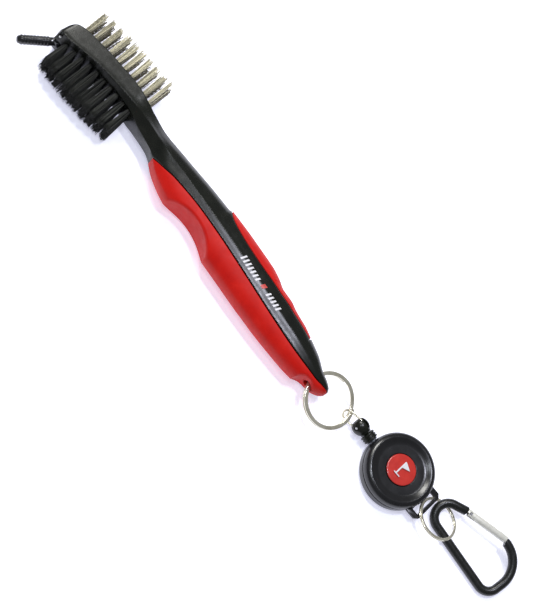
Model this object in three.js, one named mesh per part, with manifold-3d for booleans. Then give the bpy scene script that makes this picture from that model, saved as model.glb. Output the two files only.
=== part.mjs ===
// Club groove brush on a retractable cord: a two-sided head (nylon tufts on one side, brass wire on the
// other), a folding pick, a core with two soft grips, a split key ring, a wire link, a cord end, a spring
// reel, a small split ring and a carabiner with a sprung gate.
//
// Units are millimetres and +Z is up.  The object lies on z = 0 and runs along X, from the pick at -X to the
// carabiner at +X.  +Y is the brass side.  Parts are laid out in the frame whose numbers are given below, and
// the whole layout is then moved so that the origin is at the bottom centre of the object's box.

import * as THREE from 'three';
import { mergeVertices } from 'three/addons/utils/BufferGeometryUtils.js';
import Module from 'manifold-3d';

const wasm = await Module();
wasm.setup();

// ---------------------------------------------------------------- driving dimensions

const LAYOUT_CENTRE = new THREE.Vector3(2.76, 1.21, 0);  // bottom centre of the box, in the layout's frame

const GAP = 0.3;              // clearance between pieces that fit together
const DEEP = 60;              // reach of a cutting solid past the piece it cuts

// Brush body.  One row for each station along X:
// [x, brass edge y, half height, ridge y, half height, nylon edge y, half height, roundness]
const BODY_MID_Z = 8.3;
const BODY_STATIONS = [
  [-139.8, -2.0, 5.6, -3.8, 6.2, -5.2, 3.6, 0.0],
  [-138.9, 0.6, 7.8, -4.6, 8.1, -7.0, 3.8, 0.0],
  [-137.4, 3.1, 8.2, -4.9, 8.3, -6.7, 4.4, 0.0],
  [-133.3, 4.8, 8.3, -4.3, 8.3, -5.3, 5.4, 0.0],
  [-129.0, 5.6, 8.3, -3.2, 8.3, -4.0, 5.9, 0.0],
  [-125.0, 6.1, 8.3, -2.3, 8.3, -2.9, 5.9, 0.0],
  [-120.0, 6.8, 8.3, -1.1, 8.3, -2.0, 5.9, 0.0],
  [-113.0, 7.2, 8.3, -0.1, 8.3, -1.6, 5.9, 0.0],
  [-106.0, 7.7, 8.3, 0.5, 8.3, -1.1, 5.9, 0.0],
  [-100.0, 7.4, 8.3, 0.9, 8.3, -1.2, 5.9, 0.0],
  [-95.0, 6.9, 7.6, 1.1, 8.3, -1.8, 5.7, 0.0],
  [-90.0, 6.8, 5.4, 1.2, 7.9, -2.6, 4.2, 0.0],
  [-80.0, 6.1, 3.8, 0.6, 7.4, -3.9, 3.4, 0.15],
  [-70.0, 6.8, 4.0, -0.2, 7.7, -8.8, 3.6, 0.6],
  [-60.0, 7.5, 4.2, -0.6, 8.0, -11.8, 4.0, 0.85],
  [-50.0, 8.0, 4.4, -1.1, 8.2, -13.2, 4.0, 0.9],
  [-40.0, 8.2, 4.4, -1.7, 8.3, -14.4, 4.0, 0.9],
  [-38.5, 9.1, 4.4, -1.8, 8.3, -14.5, 4.0, 0.9],
  [-30.0, 9.0, 4.4, -2.3, 8.3, -14.8, 4.0, 0.9],
  [-20.0, 8.5, 4.4, -3.1, 8.3, -15.3, 4.0, 0.9],
  [-10.0, 7.8, 4.4, -3.8, 8.3, -15.9, 4.0, 0.9],
  [-5.0, 6.7, 4.4, -4.2, 8.3, -16.1, 4.0, 0.9],
  [0.0, 5.1, 4.4, -4.6, 8.2, -16.2, 4.0, 0.9],
  [5.0, 4.9, 4.4, -5.0, 8.1, -16.4, 4.0, 0.9],
  [10.0, 3.7, 4.2, -5.4, 8.0, -16.4, 4.0, 0.9],
  [17.0, 2.7, 4.0, -5.9, 7.9, -16.2, 4.0, 0.9],
  [22.0, 1.4, 4.0, -6.4, 7.7, -16.1, 3.8, 0.95],
  [30.0, -0.8, 3.6, -7.4, 7.0, -15.4, 3.6, 1.0],
  [36.0, -3.6, 3.0, -8.2, 6.0, -13.9, 3.0, 1.0],
  [40.0, -4.9, 2.6, -8.2, 5.2, -12.1, 2.6, 1.0],
  [42.6, -6.0, 2.0, -8.1, 3.9, -10.6, 2.0, 1.0],
  [43.8, -7.2, 1.0, -8.2, 1.8, -9.3, 1.0, 1.0],
];
const BODY_ROUND_POWER = 2.3; // exponent of the rounded grip section
const BODY_FACE_STEPS = 3;    // points along each of the six sides of a section
const BODY_SLICES = 30;

// Soft grips: plan lines where they meet the core, [x, y]
const GRIP_LINE = [
  [-84, -5.4], [-71, -5.6], [-63, -5.0], [-51, -4.7], [-35, -5.4], [-19, -6.8], [5, -9.2], [25, -10.4],
  [35, -10.1], [41, -9.0], [46, -7.4],
];
const PAD_LINE = [
  [-39.5, 8.6], [-37, 5.9], [-34, 4.5], [-28, 3.2], [-20, 2.2], [-10, 1.5], [0, 1.2], [10, 0.5],
  [18, -0.4], [24, -1.0],
];
const GRIP_START_X = -84;
const GRIP_END_X = 46;
const PAD_START_X = -38.4;
const PAD_END_X = 22;
const TONGUE_REACH = 1.6;     // how far the core's tongue enters each grip
const GRIP_TONGUE = { from: -66, to: 30 };
const PAD_TONGUE = { from: -34, to: 18 };
const TONGUE_HALF_HEIGHT = 4.4;
const TONGUE_MIDDLE_Y = -4;   // inside the core all along
const FINGER_DENT = { x: -46, y: -31.9, radius: 23.5 };

// Hole for the key ring, across the tail, and the scoop at its mouth
const RING_HOLE = { x: 36.3, z: 8.3, radius: 2.55 };
const RING_SCOOP = { x: 35.2, y: -17.4, radius: 5.6 };

// Tufts
const HEAD_TILT = THREE.MathUtils.degToRad(5);
const TUFT_COLUMNS = 10;
const TUFT_ROOT_DEPTH = 3.2;
const TUFT_NECK = 1.2;        // straight length of a tuft outside its hole, before it flares
const TUFT_HOLE_MOUTH = 3;
const TUFT_SIDES = 6;
const NYLON = {
  firstX: -133.5, pitch: 4.05, rows: 4, rowPitch: 2.9, rootRadius: 0.9, tipRadiusX: 1.75, tipRadiusZ: 1.75,
  trim: [[-138, -16.6], [-124, -17.2], [-110, -16.3], [-97, -14.4], [-92, -13.4]],
};
const BRASS = {
  firstX: -134.0, pitch: 4.34, rows: 3, rowPitch: 3.9, rootRadius: 1.0, tipRadiusX: 1.5, tipRadiusZ: 2.15,
  trim: [[-139, 17.2], [-123, 20.2], [-110, 21.4], [-92, 22.0]],
};

// Folding pick
const PICK = {
  pivot: new THREE.Vector3(-137.7, -5.4, BODY_MID_Z), angle: THREE.MathUtils.degToRad(234.4),
  length: 17.1, radius: 2.15, ribs: 9, ribDepth: 0.3, eyeRadius: 2.15, pinRadius: 0.75, pinHalf: 5.4,
  shank: 3.4, cone: 1.4,
};
const PICK_SLOT = { radius: 2.5, reach: 12 };

// Key ring: two turns of flat wire, tilted so that its far side hangs lower
const KEY_RING = {
  centre: new THREE.Vector3(46.98, -7.3, 5.85), tilt: THREE.MathUtils.degToRad(12.5),
  radius: 11.3, radial: 1.8, thickness: 1.0, pitch: 1.12, startAt: THREE.MathUtils.degToRad(100), slices: 66,
};

// Wire link, swivel fork and cord stop; the fork and the stop lie on the line through the reel's nozzle
const FORK_PIN_REACH = 24.8;  // from the reel's axis
const LINK = {
  wire: 0.5, halfWidth: 2.55, rightEnd: 1.5, leftEnd: -8.5,
  drop: THREE.MathUtils.degToRad(-10.6), roll: THREE.MathUtils.degToRad(60),
  yaw: THREE.MathUtils.degToRad(7),
};
const FORK = { slotFrom: -4, slotTo: 3.0, slotHalf: 0.85, pinBore: 0.9, pinRadius: 0.6, pinLength: 6.4 };
const CORD_RADIUS = 0.45;

// Reel
const REEL = {
  centre: new THREE.Vector3(87.7, -2.0, 0), turn: THREE.MathUtils.degToRad(1.8),
  radius: 16, wall: 1.2, splitZ: 5.2, top: 9.3, faceZ: 8.2, faceRadius: 11.4, cordZ: 4.6,
};
const LUG = {
  outer: 20.2, halfWidth: 8.0, thickness: 1.45, midZ: 4.1,
  windowFrom: 15.6, windowTo: 18.7, windowHalfWidth: 5.6, root: 14, corner: 1.6,
};
const NOZZLE_BORE = { from: -30, to: -10, radius: 2.0 };
const NOZZLE_BOSS = { from: -16.2, to: -14.9, halfWidth: 4.2 };
const REEL_FLOOR = 1.4;       // inside floor of the back shell
const AXLE = { radius: 1.2, bottom: 1.0, top: 5.6, socketRadius: 1.5, socketBottom: 0.7 };
const SPRING = { turns: 4, inner: 2.2, outer: 5.9, ribbon: 0.3, bottom: 2.3, top: 4.4, slices: 64 };
const FLAG = { bottom: 0.75, top: 1.0 };  // above the reel's face
const BADGE_RADIUS = 6.65;

// Small ring through the lug
const SMALL_RING = {
  centre: new THREE.Vector3(113.6, -0.7, 4.2), tilt: THREE.MathUtils.degToRad(-21.5),
  radius: 9.1, radial: 1.2, thickness: 0.55, pitch: 0.62, startAt: THREE.MathUtils.degToRad(40), slices: 52,
};

// Both split rings: wound angle of the wire, and where it steps from the lower to the upper turn, in degrees
const SPLIT_RING_WIND = { stepFrom: 300, stepTo: 360, end: 656 };

// Carabiner: centre line in its own plane (u along the spine, v across it)
const CARABINER = {
  origin: new THREE.Vector3(115, -2.0, 2.0), turn: THREE.MathUtils.degToRad(-3.4),
  tilt: THREE.MathUtils.degToRad(13), barRadius: 2.0,
  smallArc: { u: 1.2, v: 6.1, radius: 6.1, from: 118, to: 270 },
  cornerArc: { u: 31, v: 5.4, radius: 5.4, from: 270, to: 360 },
  bigArc: { u: 24.6, v: 8.6, radius: 11.8, from: 0, to: 97 },
  nose: { u: 3.9, v: 14.4 },
};
const GATE = {
  from: { u: 3.8, v: 14.3 }, to: { u: 22.9, v: 21.0 }, radius: 1.7, pivotAt: 1.6, pinRadius: 0.45,
  pinBore: 0.75, pinHalf: 1.55,
};
const PLUNGER = { from: 4.6, to: 8.6, radius: 0.6, boreFrom: 3.9, boreTo: 9, boreRadius: 0.95 };
const GATE_CLEARANCE = { hingeEnd: 0.35, latchEnd: 0.3 };

// Blocks along the gate's line: from and to are distances along it, low and high are across it, and half is
// half the thickness.  Those at the latch are measured from the gate's far end.
const HINGE_TONGUE = { from: -2.2, to: 2.5, low: -0.9, high: 0.6, half: 0.6 };
const LATCH_TONGUE = { from: -1.4, to: 2.2, low: -0.4, high: 0.8, half: 0.6 };
const HINGE_SLOT = { from: -1, to: 4.2, low: -3, high: 1.15, half: 0.9 };
const LATCH_SLOT = { from: -2, to: 1, low: -0.8, high: 3, half: 0.9 };
const HEEL_RELIEF = { from: -1, to: 0.7, low: -3, high: -0.4, half: 4 };

// ---------------------------------------------------------------- materials

const material = (color, roughness, metalness) =>
  new THREE.MeshStandardMaterial({ color, roughness, metalness });

const blackPlastic = material(0x2f3130, 0.5, 0.0);
const glossBlack = material(0x151617, 0.15, 0.0);
const redRubber = material(0xcf2c22, 0.55, 0.0);
const blackNylon = material(0x1b1c1d, 0.45, 0.0);
const brassWire = material(0xcdbf8a, 0.4, 0.8);
const steel = material(0xc3bfb4, 0.22, 1.0);
const springSteel = material(0x6d7075, 0.35, 1.0);
const blackAnodised = material(0x26282a, 0.3, 0.5);
const silverAluminium = material(0xd4d3cc, 0.3, 0.9);
const whitePlastic = material(0xe9e6e0, 0.5, 0.0);
const cordFabric = material(0x18191a, 0.8, 0.0);
const badgeRed = material(0xcb2f28, 0.3, 0.0);

// ---------------------------------------------------------------- solids and meshes

function solid(geometry) {
  const bare = geometry.clone();
  bare.deleteAttribute('normal');
  bare.deleteAttribute('uv');
  const merged = mergeVertices(bare, 1e-5);
  const vertProperties = new Float32Array(merged.attributes.position.array);
  const triVerts = new Uint32Array(merged.index.array);
  return new wasm.Manifold(new wasm.Mesh({ numProp: 3, vertProperties, triVerts }));
}

function geometryOf(manifold) {
  const mesh = manifold.getMesh();
  const geometry = new THREE.BufferGeometry();
  geometry.setAttribute('position', new THREE.Float32BufferAttribute(mesh.vertProperties, 3));
  geometry.setIndex(Array.from(mesh.triVerts));
  return geometry;
}

function subtractAll(base, cutters) {
  return cutters.reduce((result, cutter) => result.subtract(cutter), base);
}

function addAll(solids) {
  return solids.slice(1).reduce((result, piece) => result.add(piece), solids[0]);
}

function addPart(parent, name, shape, look) {
  const geometry = shape.isBufferGeometry ? shape : geometryOf(shape);
  geometry.computeVertexNormals();
  const mesh = new THREE.Mesh(geometry, look);
  mesh.name = name;
  parent.add(mesh);
  return mesh;
}

// A closed solid through rings of points that all have the same count, with a fan over each end.
function loft(rings) {
  const count = rings[0].length;
  const positions = rings.flat().flatMap((point) => [point.x, point.y, point.z]);
  const faces = [];
  for (let ring = 0; ring + 1 < rings.length; ring += 1) {
    for (let i = 0; i < count; i += 1) {
      const a = ring * count + i;
      const b = ring * count + ((i + 1) % count);
      faces.push(a, b, b + count, a, b + count, a + count);
    }
  }
  const last = (rings.length - 1) * count;
  for (let i = 1; i + 1 < count; i += 1) {
    faces.push(0, i + 1, i);
    faces.push(last, last + i, last + i + 1);
  }
  const geometry = new THREE.BufferGeometry();
  geometry.setAttribute('position', new THREE.Float32BufferAttribute(positions, 3));
  geometry.setIndex(faces);
  return geometry;
}

// A cylinder or cone between two points.
function rod(from, to, radiusFrom, radiusTo, sides) {
  const axis = new THREE.Vector3().subVectors(to, from);
  const geometry = new THREE.CylinderGeometry(radiusTo, radiusFrom, axis.length(), sides);
  const up = new THREE.Vector3(0, 1, 0);
  geometry.applyQuaternion(new THREE.Quaternion().setFromUnitVectors(up, axis.clone().normalize()));
  geometry.translate((from.x + to.x) / 2, (from.y + to.y) / 2, (from.z + to.z) / 2);
  return geometry;
}

function box(x0, x1, y0, y1, z0, z1) {
  const geometry = new THREE.BoxGeometry(x1 - x0, y1 - y0, z1 - z0);
  geometry.translate((x0 + x1) / 2, (y0 + y1) / 2, (z0 + z1) / 2);
  return geometry;
}

// A plan outline, [x, y] points, raised from z0 to z1.
function slab(outline, z0, z1) {
  const shape = new THREE.Shape(outline.map(([x, y]) => new THREE.Vector2(x, y)));
  const geometry = new THREE.ExtrudeGeometry(shape, { depth: z1 - z0, bevelEnabled: false });
  geometry.translate(0, 0, z0);
  return geometry;
}

// A turned piece about Z from [radius, z] points that run up the outside.
function turned(profile, sides) {
  const points = profile.map(([radius, z]) => new THREE.Vector2(radius, z));
  const geometry = new THREE.LatheGeometry(points, sides);
  geometry.rotateX(Math.PI / 2);
  return geometry;
}

// The same, laid along X: [radius, x] points from -X to +X.
function turnedAlongX(profile, sides) {
  const geometry = turned(profile, sides);
  geometry.rotateY(Math.PI / 2);
  return geometry;
}

// A smooth curve through [x, value...] rows that never overshoots them (monotone cubic).
function smoothRows(rows, x) {
  const last = rows.length - 1;
  const at = Math.min(Math.max(x, rows[0][0]), rows[last][0]);
  let i = 0;
  while (i < last - 1 && rows[i + 1][0] < at) {
    i += 1;
  }
  const width = rows[i + 1][0] - rows[i][0];
  const t = (at - rows[i][0]) / width;
  return rows[i].slice(1).map((_, column) => {
    const value = (row) => rows[row][column + 1];
    const slope = (row) => (value(row + 1) - value(row)) / (rows[row + 1][0] - rows[row][0]);
    const tangent = (row) => {
      if (row === 0) {
        return slope(0);
      }
      if (row === last) {
        return slope(last - 1);
      }
      const before = slope(row - 1);
      const after = slope(row);
      return before * after <= 0 ? 0 : (2 * before * after) / (before + after);
    };
    const h00 = 2 * t ** 3 - 3 * t ** 2 + 1;
    const h10 = t ** 3 - 2 * t ** 2 + t;
    const h01 = 3 * t ** 2 - 2 * t ** 3;
    const h11 = t ** 3 - t ** 2;
    return h00 * value(i) + h10 * width * tangent(i) + h01 * value(i + 1) + h11 * width * tangent(i + 1);
  });
}

// ---------------------------------------------------------------- brush body

// One section of the brush body: a hexagon with a ridge above and below, eased towards a rounded oval.
function bodySection(x) {
  const [brassY, brassH, ridgeY, ridgeH, nylonY, nylonH, roundness] = smoothRows(BODY_STATIONS, x);
  const corners = [
    [brassY, brassH], [ridgeY, ridgeH], [nylonY, nylonH], [nylonY, -nylonH], [ridgeY, -ridgeH],
    [brassY, -brassH],
  ];
  const middle = (brassY + nylonY) / 2;
  const halfWidth = (brassY - nylonY) / 2;
  const ring = [];
  corners.forEach((corner, side) => {
    const next = corners[(side + 1) % corners.length];
    for (let step = 0; step < BODY_FACE_STEPS; step += 1) {
      const along = step / BODY_FACE_STEPS;
      const y = corner[0] + (next[0] - corner[0]) * along;
      const h = corner[1] + (next[1] - corner[1]) * along;
      const power = BODY_ROUND_POWER;
      const across = Math.abs((y - middle) / halfWidth);
      const size = (across ** power + Math.abs(h / ridgeH) ** power) ** (1 / power);
      const pull = 1 + roundness * (1 / size - 1);
      ring.push(new THREE.Vector3(x, middle + (y - middle) * pull, BODY_MID_Z + h * pull));
    }
  });
  return ring;
}

function bodyBlank() {
  const firstX = BODY_STATIONS[0][0];
  const lastX = BODY_STATIONS[BODY_STATIONS.length - 1][0];
  const places = BODY_STATIONS.map((row) => row[0]);
  for (let slice = 1; slice < BODY_SLICES; slice += 1) {
    places.push(firstX + ((lastX - firstX) * slice) / BODY_SLICES);
  }
  places.sort((a, b) => a - b);
  const minStep = 2.5;
  const kept = places.filter((x, i) => i === 0 || i === places.length - 1
    || BODY_STATIONS.some((row) => row[0] === x) || x - places[i - 1] > minStep);
  return solid(loft(kept.map(bodySection)).toNonIndexed());
}

// The plan between the line through rows and a far edge, from x0 to x1, as an outline.
function sideOutline(rows, x0, x1, offset, farY) {
  const steps = 40;
  const line = [];
  for (let i = 0; i <= steps; i += 1) {
    const x = x0 + ((x1 - x0) * i) / steps;
    line.push([x, smoothRows(rows, x)[0] + offset]);
  }
  return [...line, [x1, farY], [x0, farY]];
}

function ringCutters() {
  const hole = rod(
    new THREE.Vector3(RING_HOLE.x, -DEEP, RING_HOLE.z),
    new THREE.Vector3(RING_HOLE.x, DEEP, RING_HOLE.z),
    RING_HOLE.radius, RING_HOLE.radius, 20,
  );
  const scoop = rod(
    new THREE.Vector3(RING_SCOOP.x, RING_SCOOP.y, -DEEP),
    new THREE.Vector3(RING_SCOOP.x, RING_SCOOP.y, DEEP),
    RING_SCOOP.radius, RING_SCOOP.radius, 28,
  );
  return [solid(hole), solid(scoop)];
}

function fingerDentCutter() {
  const { x, y, radius } = FINGER_DENT;
  return solid(rod(new THREE.Vector3(x, y, -DEEP), new THREE.Vector3(x, y, DEEP), radius, radius, 72));
}

// The core's tongue inside the grips, grown by a clearance.
function tongue(grow) {
  const reach = TONGUE_REACH + grow;
  const low = sideOutline(GRIP_LINE, GRIP_TONGUE.from - grow, GRIP_TONGUE.to + grow, -reach,
    TONGUE_MIDDLE_Y);
  const high = sideOutline(PAD_LINE, PAD_TONGUE.from - grow, PAD_TONGUE.to + grow, reach, TONGUE_MIDDLE_Y);
  const z0 = BODY_MID_Z - TONGUE_HALF_HEIGHT - grow;
  const z1 = BODY_MID_Z + TONGUE_HALF_HEIGHT + grow;
  return solid(slab(low, z0, z1)).add(solid(slab(high, z0, z1)));
}

function tuftPlaces(kind, side) {
  const outward = new THREE.Vector3(-Math.sin(HEAD_TILT) * side, Math.cos(HEAD_TILT) * side, 0);
  const columns = [];
  for (let column = 0; column < TUFT_COLUMNS; column += 1) {
    const x = kind.firstX + column * kind.pitch;
    const [brassY, , , , nylonY] = smoothRows(BODY_STATIONS, x);
    const faceY = side > 0 ? brassY : nylonY;
    const length = Math.abs(smoothRows(kind.trim, x)[0] - faceY) / Math.cos(HEAD_TILT);
    const tufts = [];
    for (let row = 0; row < kind.rows; row += 1) {
      const z = BODY_MID_Z + (row - (kind.rows - 1) / 2) * kind.rowPitch;
      const face = new THREE.Vector3(x, faceY, z);
      const root = face.clone().addScaledVector(outward, -TUFT_ROOT_DEPTH);
      const tip = face.clone().addScaledVector(outward, length);
      tufts.push({ face, root, tip, outward });
    }
    columns.push(tufts);
  }
  return columns;
}

function tuftHoles(kind, side) {
  return tuftPlaces(kind, side).flat().map(({ face, root, outward }) => {
    const bottom = root.clone().addScaledVector(outward, -GAP);
    const mouth = face.clone().addScaledVector(outward, TUFT_HOLE_MOUTH);
    return solid(rod(bottom, mouth, kind.rootRadius + GAP, kind.rootRadius + GAP, TUFT_SIDES));
  });
}

// One tuft: a round root, then an oval flare that meets its neighbours in the same column at the tips.
function tuft(kind, { face, root, tip, outward }) {
  const along = new THREE.Vector3(outward.y, -outward.x, 0);
  const ring = (centre, radiusX, radiusZ) => {
    const points = [];
    for (let i = 0; i < TUFT_SIDES; i += 1) {
      const angle = (2 * Math.PI * (i + 0.5)) / TUFT_SIDES;
      const point = centre.clone().addScaledVector(along, radiusX * Math.cos(angle));
      point.z += radiusZ * Math.sin(angle);
      points.push(point);
    }
    return points.reverse();
  };
  const clear = face.clone().addScaledVector(outward, TUFT_NECK);
  const rings = [
    ring(root, kind.rootRadius, kind.rootRadius),
    ring(clear, kind.rootRadius, kind.rootRadius),
    ring(tip, kind.tipRadiusX, kind.tipRadiusZ),
  ];
  return solid(loft(rings).toNonIndexed());
}

function pickSlot() {
  const { pivot } = PICK;
  const { radius, reach } = PICK_SLOT;
  const z0 = pivot.z - radius;
  const z1 = pivot.z + radius;
  const round = rod(new THREE.Vector3(pivot.x, pivot.y, z0), new THREE.Vector3(pivot.x, pivot.y, z1),
    radius, radius, 24);
  const outward = box(pivot.x - reach, pivot.x, pivot.y - reach, pivot.y + radius, z0, z1);
  const lap = 0.01;
  const downward = box(pivot.x - lap, pivot.x + radius, pivot.y - reach, pivot.y, z0, z1);
  return addAll([solid(round), solid(outward), solid(downward)]);
}

function pickPinHole(grow) {
  const { pivot, pinRadius } = PICK;
  return solid(rod(new THREE.Vector3(pivot.x, pivot.y, -DEEP), new THREE.Vector3(pivot.x, pivot.y, DEEP),
    pinRadius + grow, pinRadius + grow, 14));
}

function buildBrush(parent) {
  const blank = bodyBlank();
  const gripRegion = solid(slab(sideOutline(GRIP_LINE, GRIP_START_X, GRIP_END_X, 0, -DEEP), -DEEP, DEEP));
  const gripRoom = solid(slab(sideOutline(GRIP_LINE, GRIP_START_X, GRIP_END_X, GAP, -DEEP), -DEEP, DEEP));
  const padRegion = solid(slab(sideOutline(PAD_LINE, PAD_START_X, PAD_END_X, 0, DEEP), -DEEP, DEEP));
  const padRoom = solid(
    slab(sideOutline(PAD_LINE, PAD_START_X - GAP, PAD_END_X + GAP, -GAP, DEEP), -DEEP, DEEP),
  );
  const ring = ringCutters();
  const dent = fingerDentCutter();

  const skeleton = subtractAll(blank, [gripRoom, padRoom]).add(tongue(0));
  const core = subtractAll(skeleton, [
    ...ring, ...tuftHoles(NYLON, -1), ...tuftHoles(BRASS, 1), pickSlot(), pickPinHole(GAP / 2),
  ]);
  addPart(parent, 'handle_core', core, blackPlastic);

  const grip = subtractAll(blank.intersect(gripRegion), [tongue(GAP), dent, ...ring]);
  addPart(parent, 'grip_main', grip, redRubber);

  const pad = subtractAll(blank.intersect(padRegion), [tongue(GAP)]);
  addPart(parent, 'grip_pad', pad, redRubber);

  tuftPlaces(NYLON, -1).forEach((tufts, column) => {
    const row = addAll(tufts.map((place) => tuft(NYLON, place)));
    addPart(parent, `nylon_tufts_${column + 1}`, row, blackNylon);
  });
  tuftPlaces(BRASS, 1).forEach((tufts, column) => {
    const row = addAll(tufts.map((place) => tuft(BRASS, place)));
    addPart(parent, `brass_tufts_${column + 1}`, row, brassWire);
  });
}

// ---------------------------------------------------------------- folding pick

function buildPick(parent) {
  const { pivot, angle, length, radius, ribs, ribDepth, eyeRadius, pinRadius, pinHalf, shank, cone } = PICK;
  const profile = [[0, 0], [radius - ribDepth, 0], [radius - ribDepth, shank]];
  const ribPitch = (length - cone - shank) / ribs;
  for (let rib = 0; rib < ribs; rib += 1) {
    const start = shank + rib * ribPitch;
    profile.push([radius, start + 0.3 * ribPitch]);
    profile.push([radius, start + 0.7 * ribPitch]);
    profile.push([radius - ribDepth, start + ribPitch]);
  }
  profile.push([1.5, length - 0.4], [0.9, length], [0, length]);
  const shaft = solid(turnedAlongX(profile, 10));
  const eye = solid(rod(new THREE.Vector3(0, 0, -radius), new THREE.Vector3(0, 0, radius),
    eyeRadius, eyeRadius, 20));
  const bore = solid(rod(new THREE.Vector3(0, 0, -DEEP), new THREE.Vector3(0, 0, DEEP),
    pinRadius + GAP, pinRadius + GAP, 14));
  const mesh = addPart(parent, 'pick', shaft.add(eye).subtract(bore), glossBlack);
  mesh.position.copy(pivot);
  mesh.rotation.z = angle;

  const pin = addPart(parent, 'pick_pin', new THREE.CylinderGeometry(pinRadius, pinRadius, 2 * pinHalf, 14)
    .rotateX(Math.PI / 2), steel);
  pin.position.copy(pivot);
}

// ---------------------------------------------------------------- split rings

// Two turns of flat wire, one above the other, with a short step from the lower to the upper turn.
function splitRing({ radius, radial, thickness, pitch, slices }) {
  const stepFrom = THREE.MathUtils.degToRad(SPLIT_RING_WIND.stepFrom);
  const stepTo = THREE.MathUtils.degToRad(SPLIT_RING_WIND.stepTo);
  const end = THREE.MathUtils.degToRad(SPLIT_RING_WIND.end);
  const rings = [];
  for (let i = 0; i <= slices; i += 1) {
    const turn = (end * i) / slices;
    const rise = pitch * THREE.MathUtils.smoothstep(turn, stepFrom, stepTo) - pitch / 2;
    const section = [
      [radial / 2, -thickness / 2], [radial / 2, thickness / 2], [-radial / 2, thickness / 2],
      [-radial / 2, -thickness / 2],
    ];
    rings.push(section.map(([r, z]) => new THREE.Vector3(
      (radius + r) * Math.cos(turn), (radius + r) * Math.sin(turn), z + rise,
    )));
  }
  return loft(rings.map((ring) => ring.reverse())).toNonIndexed();
}

function buildKeyRing(parent) {
  const mesh = addPart(parent, 'key_ring', splitRing(KEY_RING), steel);
  mesh.position.copy(KEY_RING.centre);
  mesh.rotation.set(0, KEY_RING.tilt, KEY_RING.startAt, 'YXZ');
}

function buildSmallRing(parent) {
  const mesh = addPart(parent, 'small_ring', splitRing(SMALL_RING), steel);
  mesh.position.copy(SMALL_RING.centre);
  mesh.rotation.set(SMALL_RING.tilt, 0, SMALL_RING.startAt, 'XYZ');
}

// ---------------------------------------------------------------- link and cord end

// A closed stadium loop of round wire in the XY plane.
function wireLoop({ wire, halfWidth, leftEnd, rightEnd }) {
  const path = new THREE.CurvePath();
  const left = leftEnd + halfWidth;
  const right = rightEnd - halfWidth;
  const corner = (x, y) => new THREE.Vector3(x, y, 0);
  const arc = (centreX, from) => {
    const curve = new THREE.Curve();
    curve.getPoint = (t, target = new THREE.Vector3()) => target.set(
      centreX + halfWidth * Math.cos(from + Math.PI * t), halfWidth * Math.sin(from + Math.PI * t), 0,
    );
    return curve;
  };
  path.add(new THREE.LineCurve3(corner(left, -halfWidth), corner(right, -halfWidth)));
  path.add(arc(right, -Math.PI / 2));
  path.add(new THREE.LineCurve3(corner(right, halfWidth), corner(left, halfWidth)));
  path.add(arc(left, Math.PI / 2));
  return new THREE.TubeGeometry(path, 40, wire, 8, true);
}

function forkPinPlace() {
  const place = new THREE.Vector3(-FORK_PIN_REACH, 0, REEL.cordZ);
  return place.applyAxisAngle(new THREE.Vector3(0, 0, 1), REEL.turn).add(REEL.centre);
}

function buildLink(parent) {
  const mesh = addPart(parent, 'wire_link', wireLoop(LINK), steel);
  mesh.position.copy(forkPinPlace());
  mesh.rotation.set(LINK.roll, LINK.drop, LINK.yaw, 'ZYX');
}

function buildCordEnd(parent) {
  const line = new THREE.Group();
  line.position.copy(forkPinPlace());
  line.rotation.z = REEL.turn;
  parent.add(line);
  const fork = new THREE.Group();
  fork.rotation.x = LINK.roll;
  line.add(fork);

  const forkProfile = [
    [0, -2.2], [2.3, -2.2], [3.2, -1.4], [3.75, 0.2], [3.75, 1.6], [3.2, 3.0], [2.5, 3.9], [2.5, 4.3],
    [1.0, 4.3], [1.0, 5.6], [1.8, 5.6], [1.8, 6.4], [0, 6.4],
  ];
  const slot = box(FORK.slotFrom, FORK.slotTo, -DEEP, DEEP, -FORK.slotHalf, FORK.slotHalf);
  const pinBore = rod(new THREE.Vector3(0, 0, -DEEP), new THREE.Vector3(0, 0, DEEP),
    FORK.pinBore, FORK.pinBore, 12);
  const forkBody = subtractAll(solid(turnedAlongX(forkProfile, 18)), [solid(slot), solid(pinBore)]);
  addPart(fork, 'swivel_fork', forkBody, blackPlastic);
  const pin = new THREE.CylinderGeometry(FORK.pinRadius, FORK.pinRadius, FORK.pinLength, 12)
    .rotateX(Math.PI / 2);
  addPart(fork, 'fork_pin', pin, steel);

  const stopProfile = [
    [1.3, 4.6], [2.7, 4.6], [3.3, 5.0], [3.3, 5.5], [2.9, 5.7], [2.9, 6.0], [3.3, 6.2], [3.3, 6.6],
    [2.9, 6.8], [2.9, 7.0], [3.3, 7.2], [3.3, 7.7], [0.75, 7.7], [0.75, 7.2], [2.2, 7.2], [2.2, 5.25],
    [1.3, 5.25], [1.3, 4.6],
  ];
  addPart(line, 'cord_stop', turnedAlongX(stopProfile, 16), blackPlastic);
  const leadProfile = [[0, 6.7], [1.2, 6.7], [1.2, 6.85], [CORD_RADIUS, 6.9], [CORD_RADIUS, 11.5], [0, 11.5]];
  addPart(line, 'cord_lead', turnedAlongX(leadProfile, 12), cordFabric);
}

// ---------------------------------------------------------------- reel

function lugPlate() {
  const { root, outer, halfWidth, corner, midZ, thickness } = LUG;
  const outline = [
    [root, -halfWidth], [outer - corner, -halfWidth], [outer, -halfWidth + corner],
    [outer, halfWidth - corner], [outer - corner, halfWidth], [root, halfWidth],
  ];
  return solid(slab(outline, midZ - thickness / 2, midZ + thickness / 2));
}

function nozzleBore() {
  const { from, to, radius } = NOZZLE_BORE;
  const start = new THREE.Vector3(from, 0, REEL.cordZ);
  const end = new THREE.Vector3(to, 0, REEL.cordZ);
  return solid(rod(start, end, radius, radius, 16));
}

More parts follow.
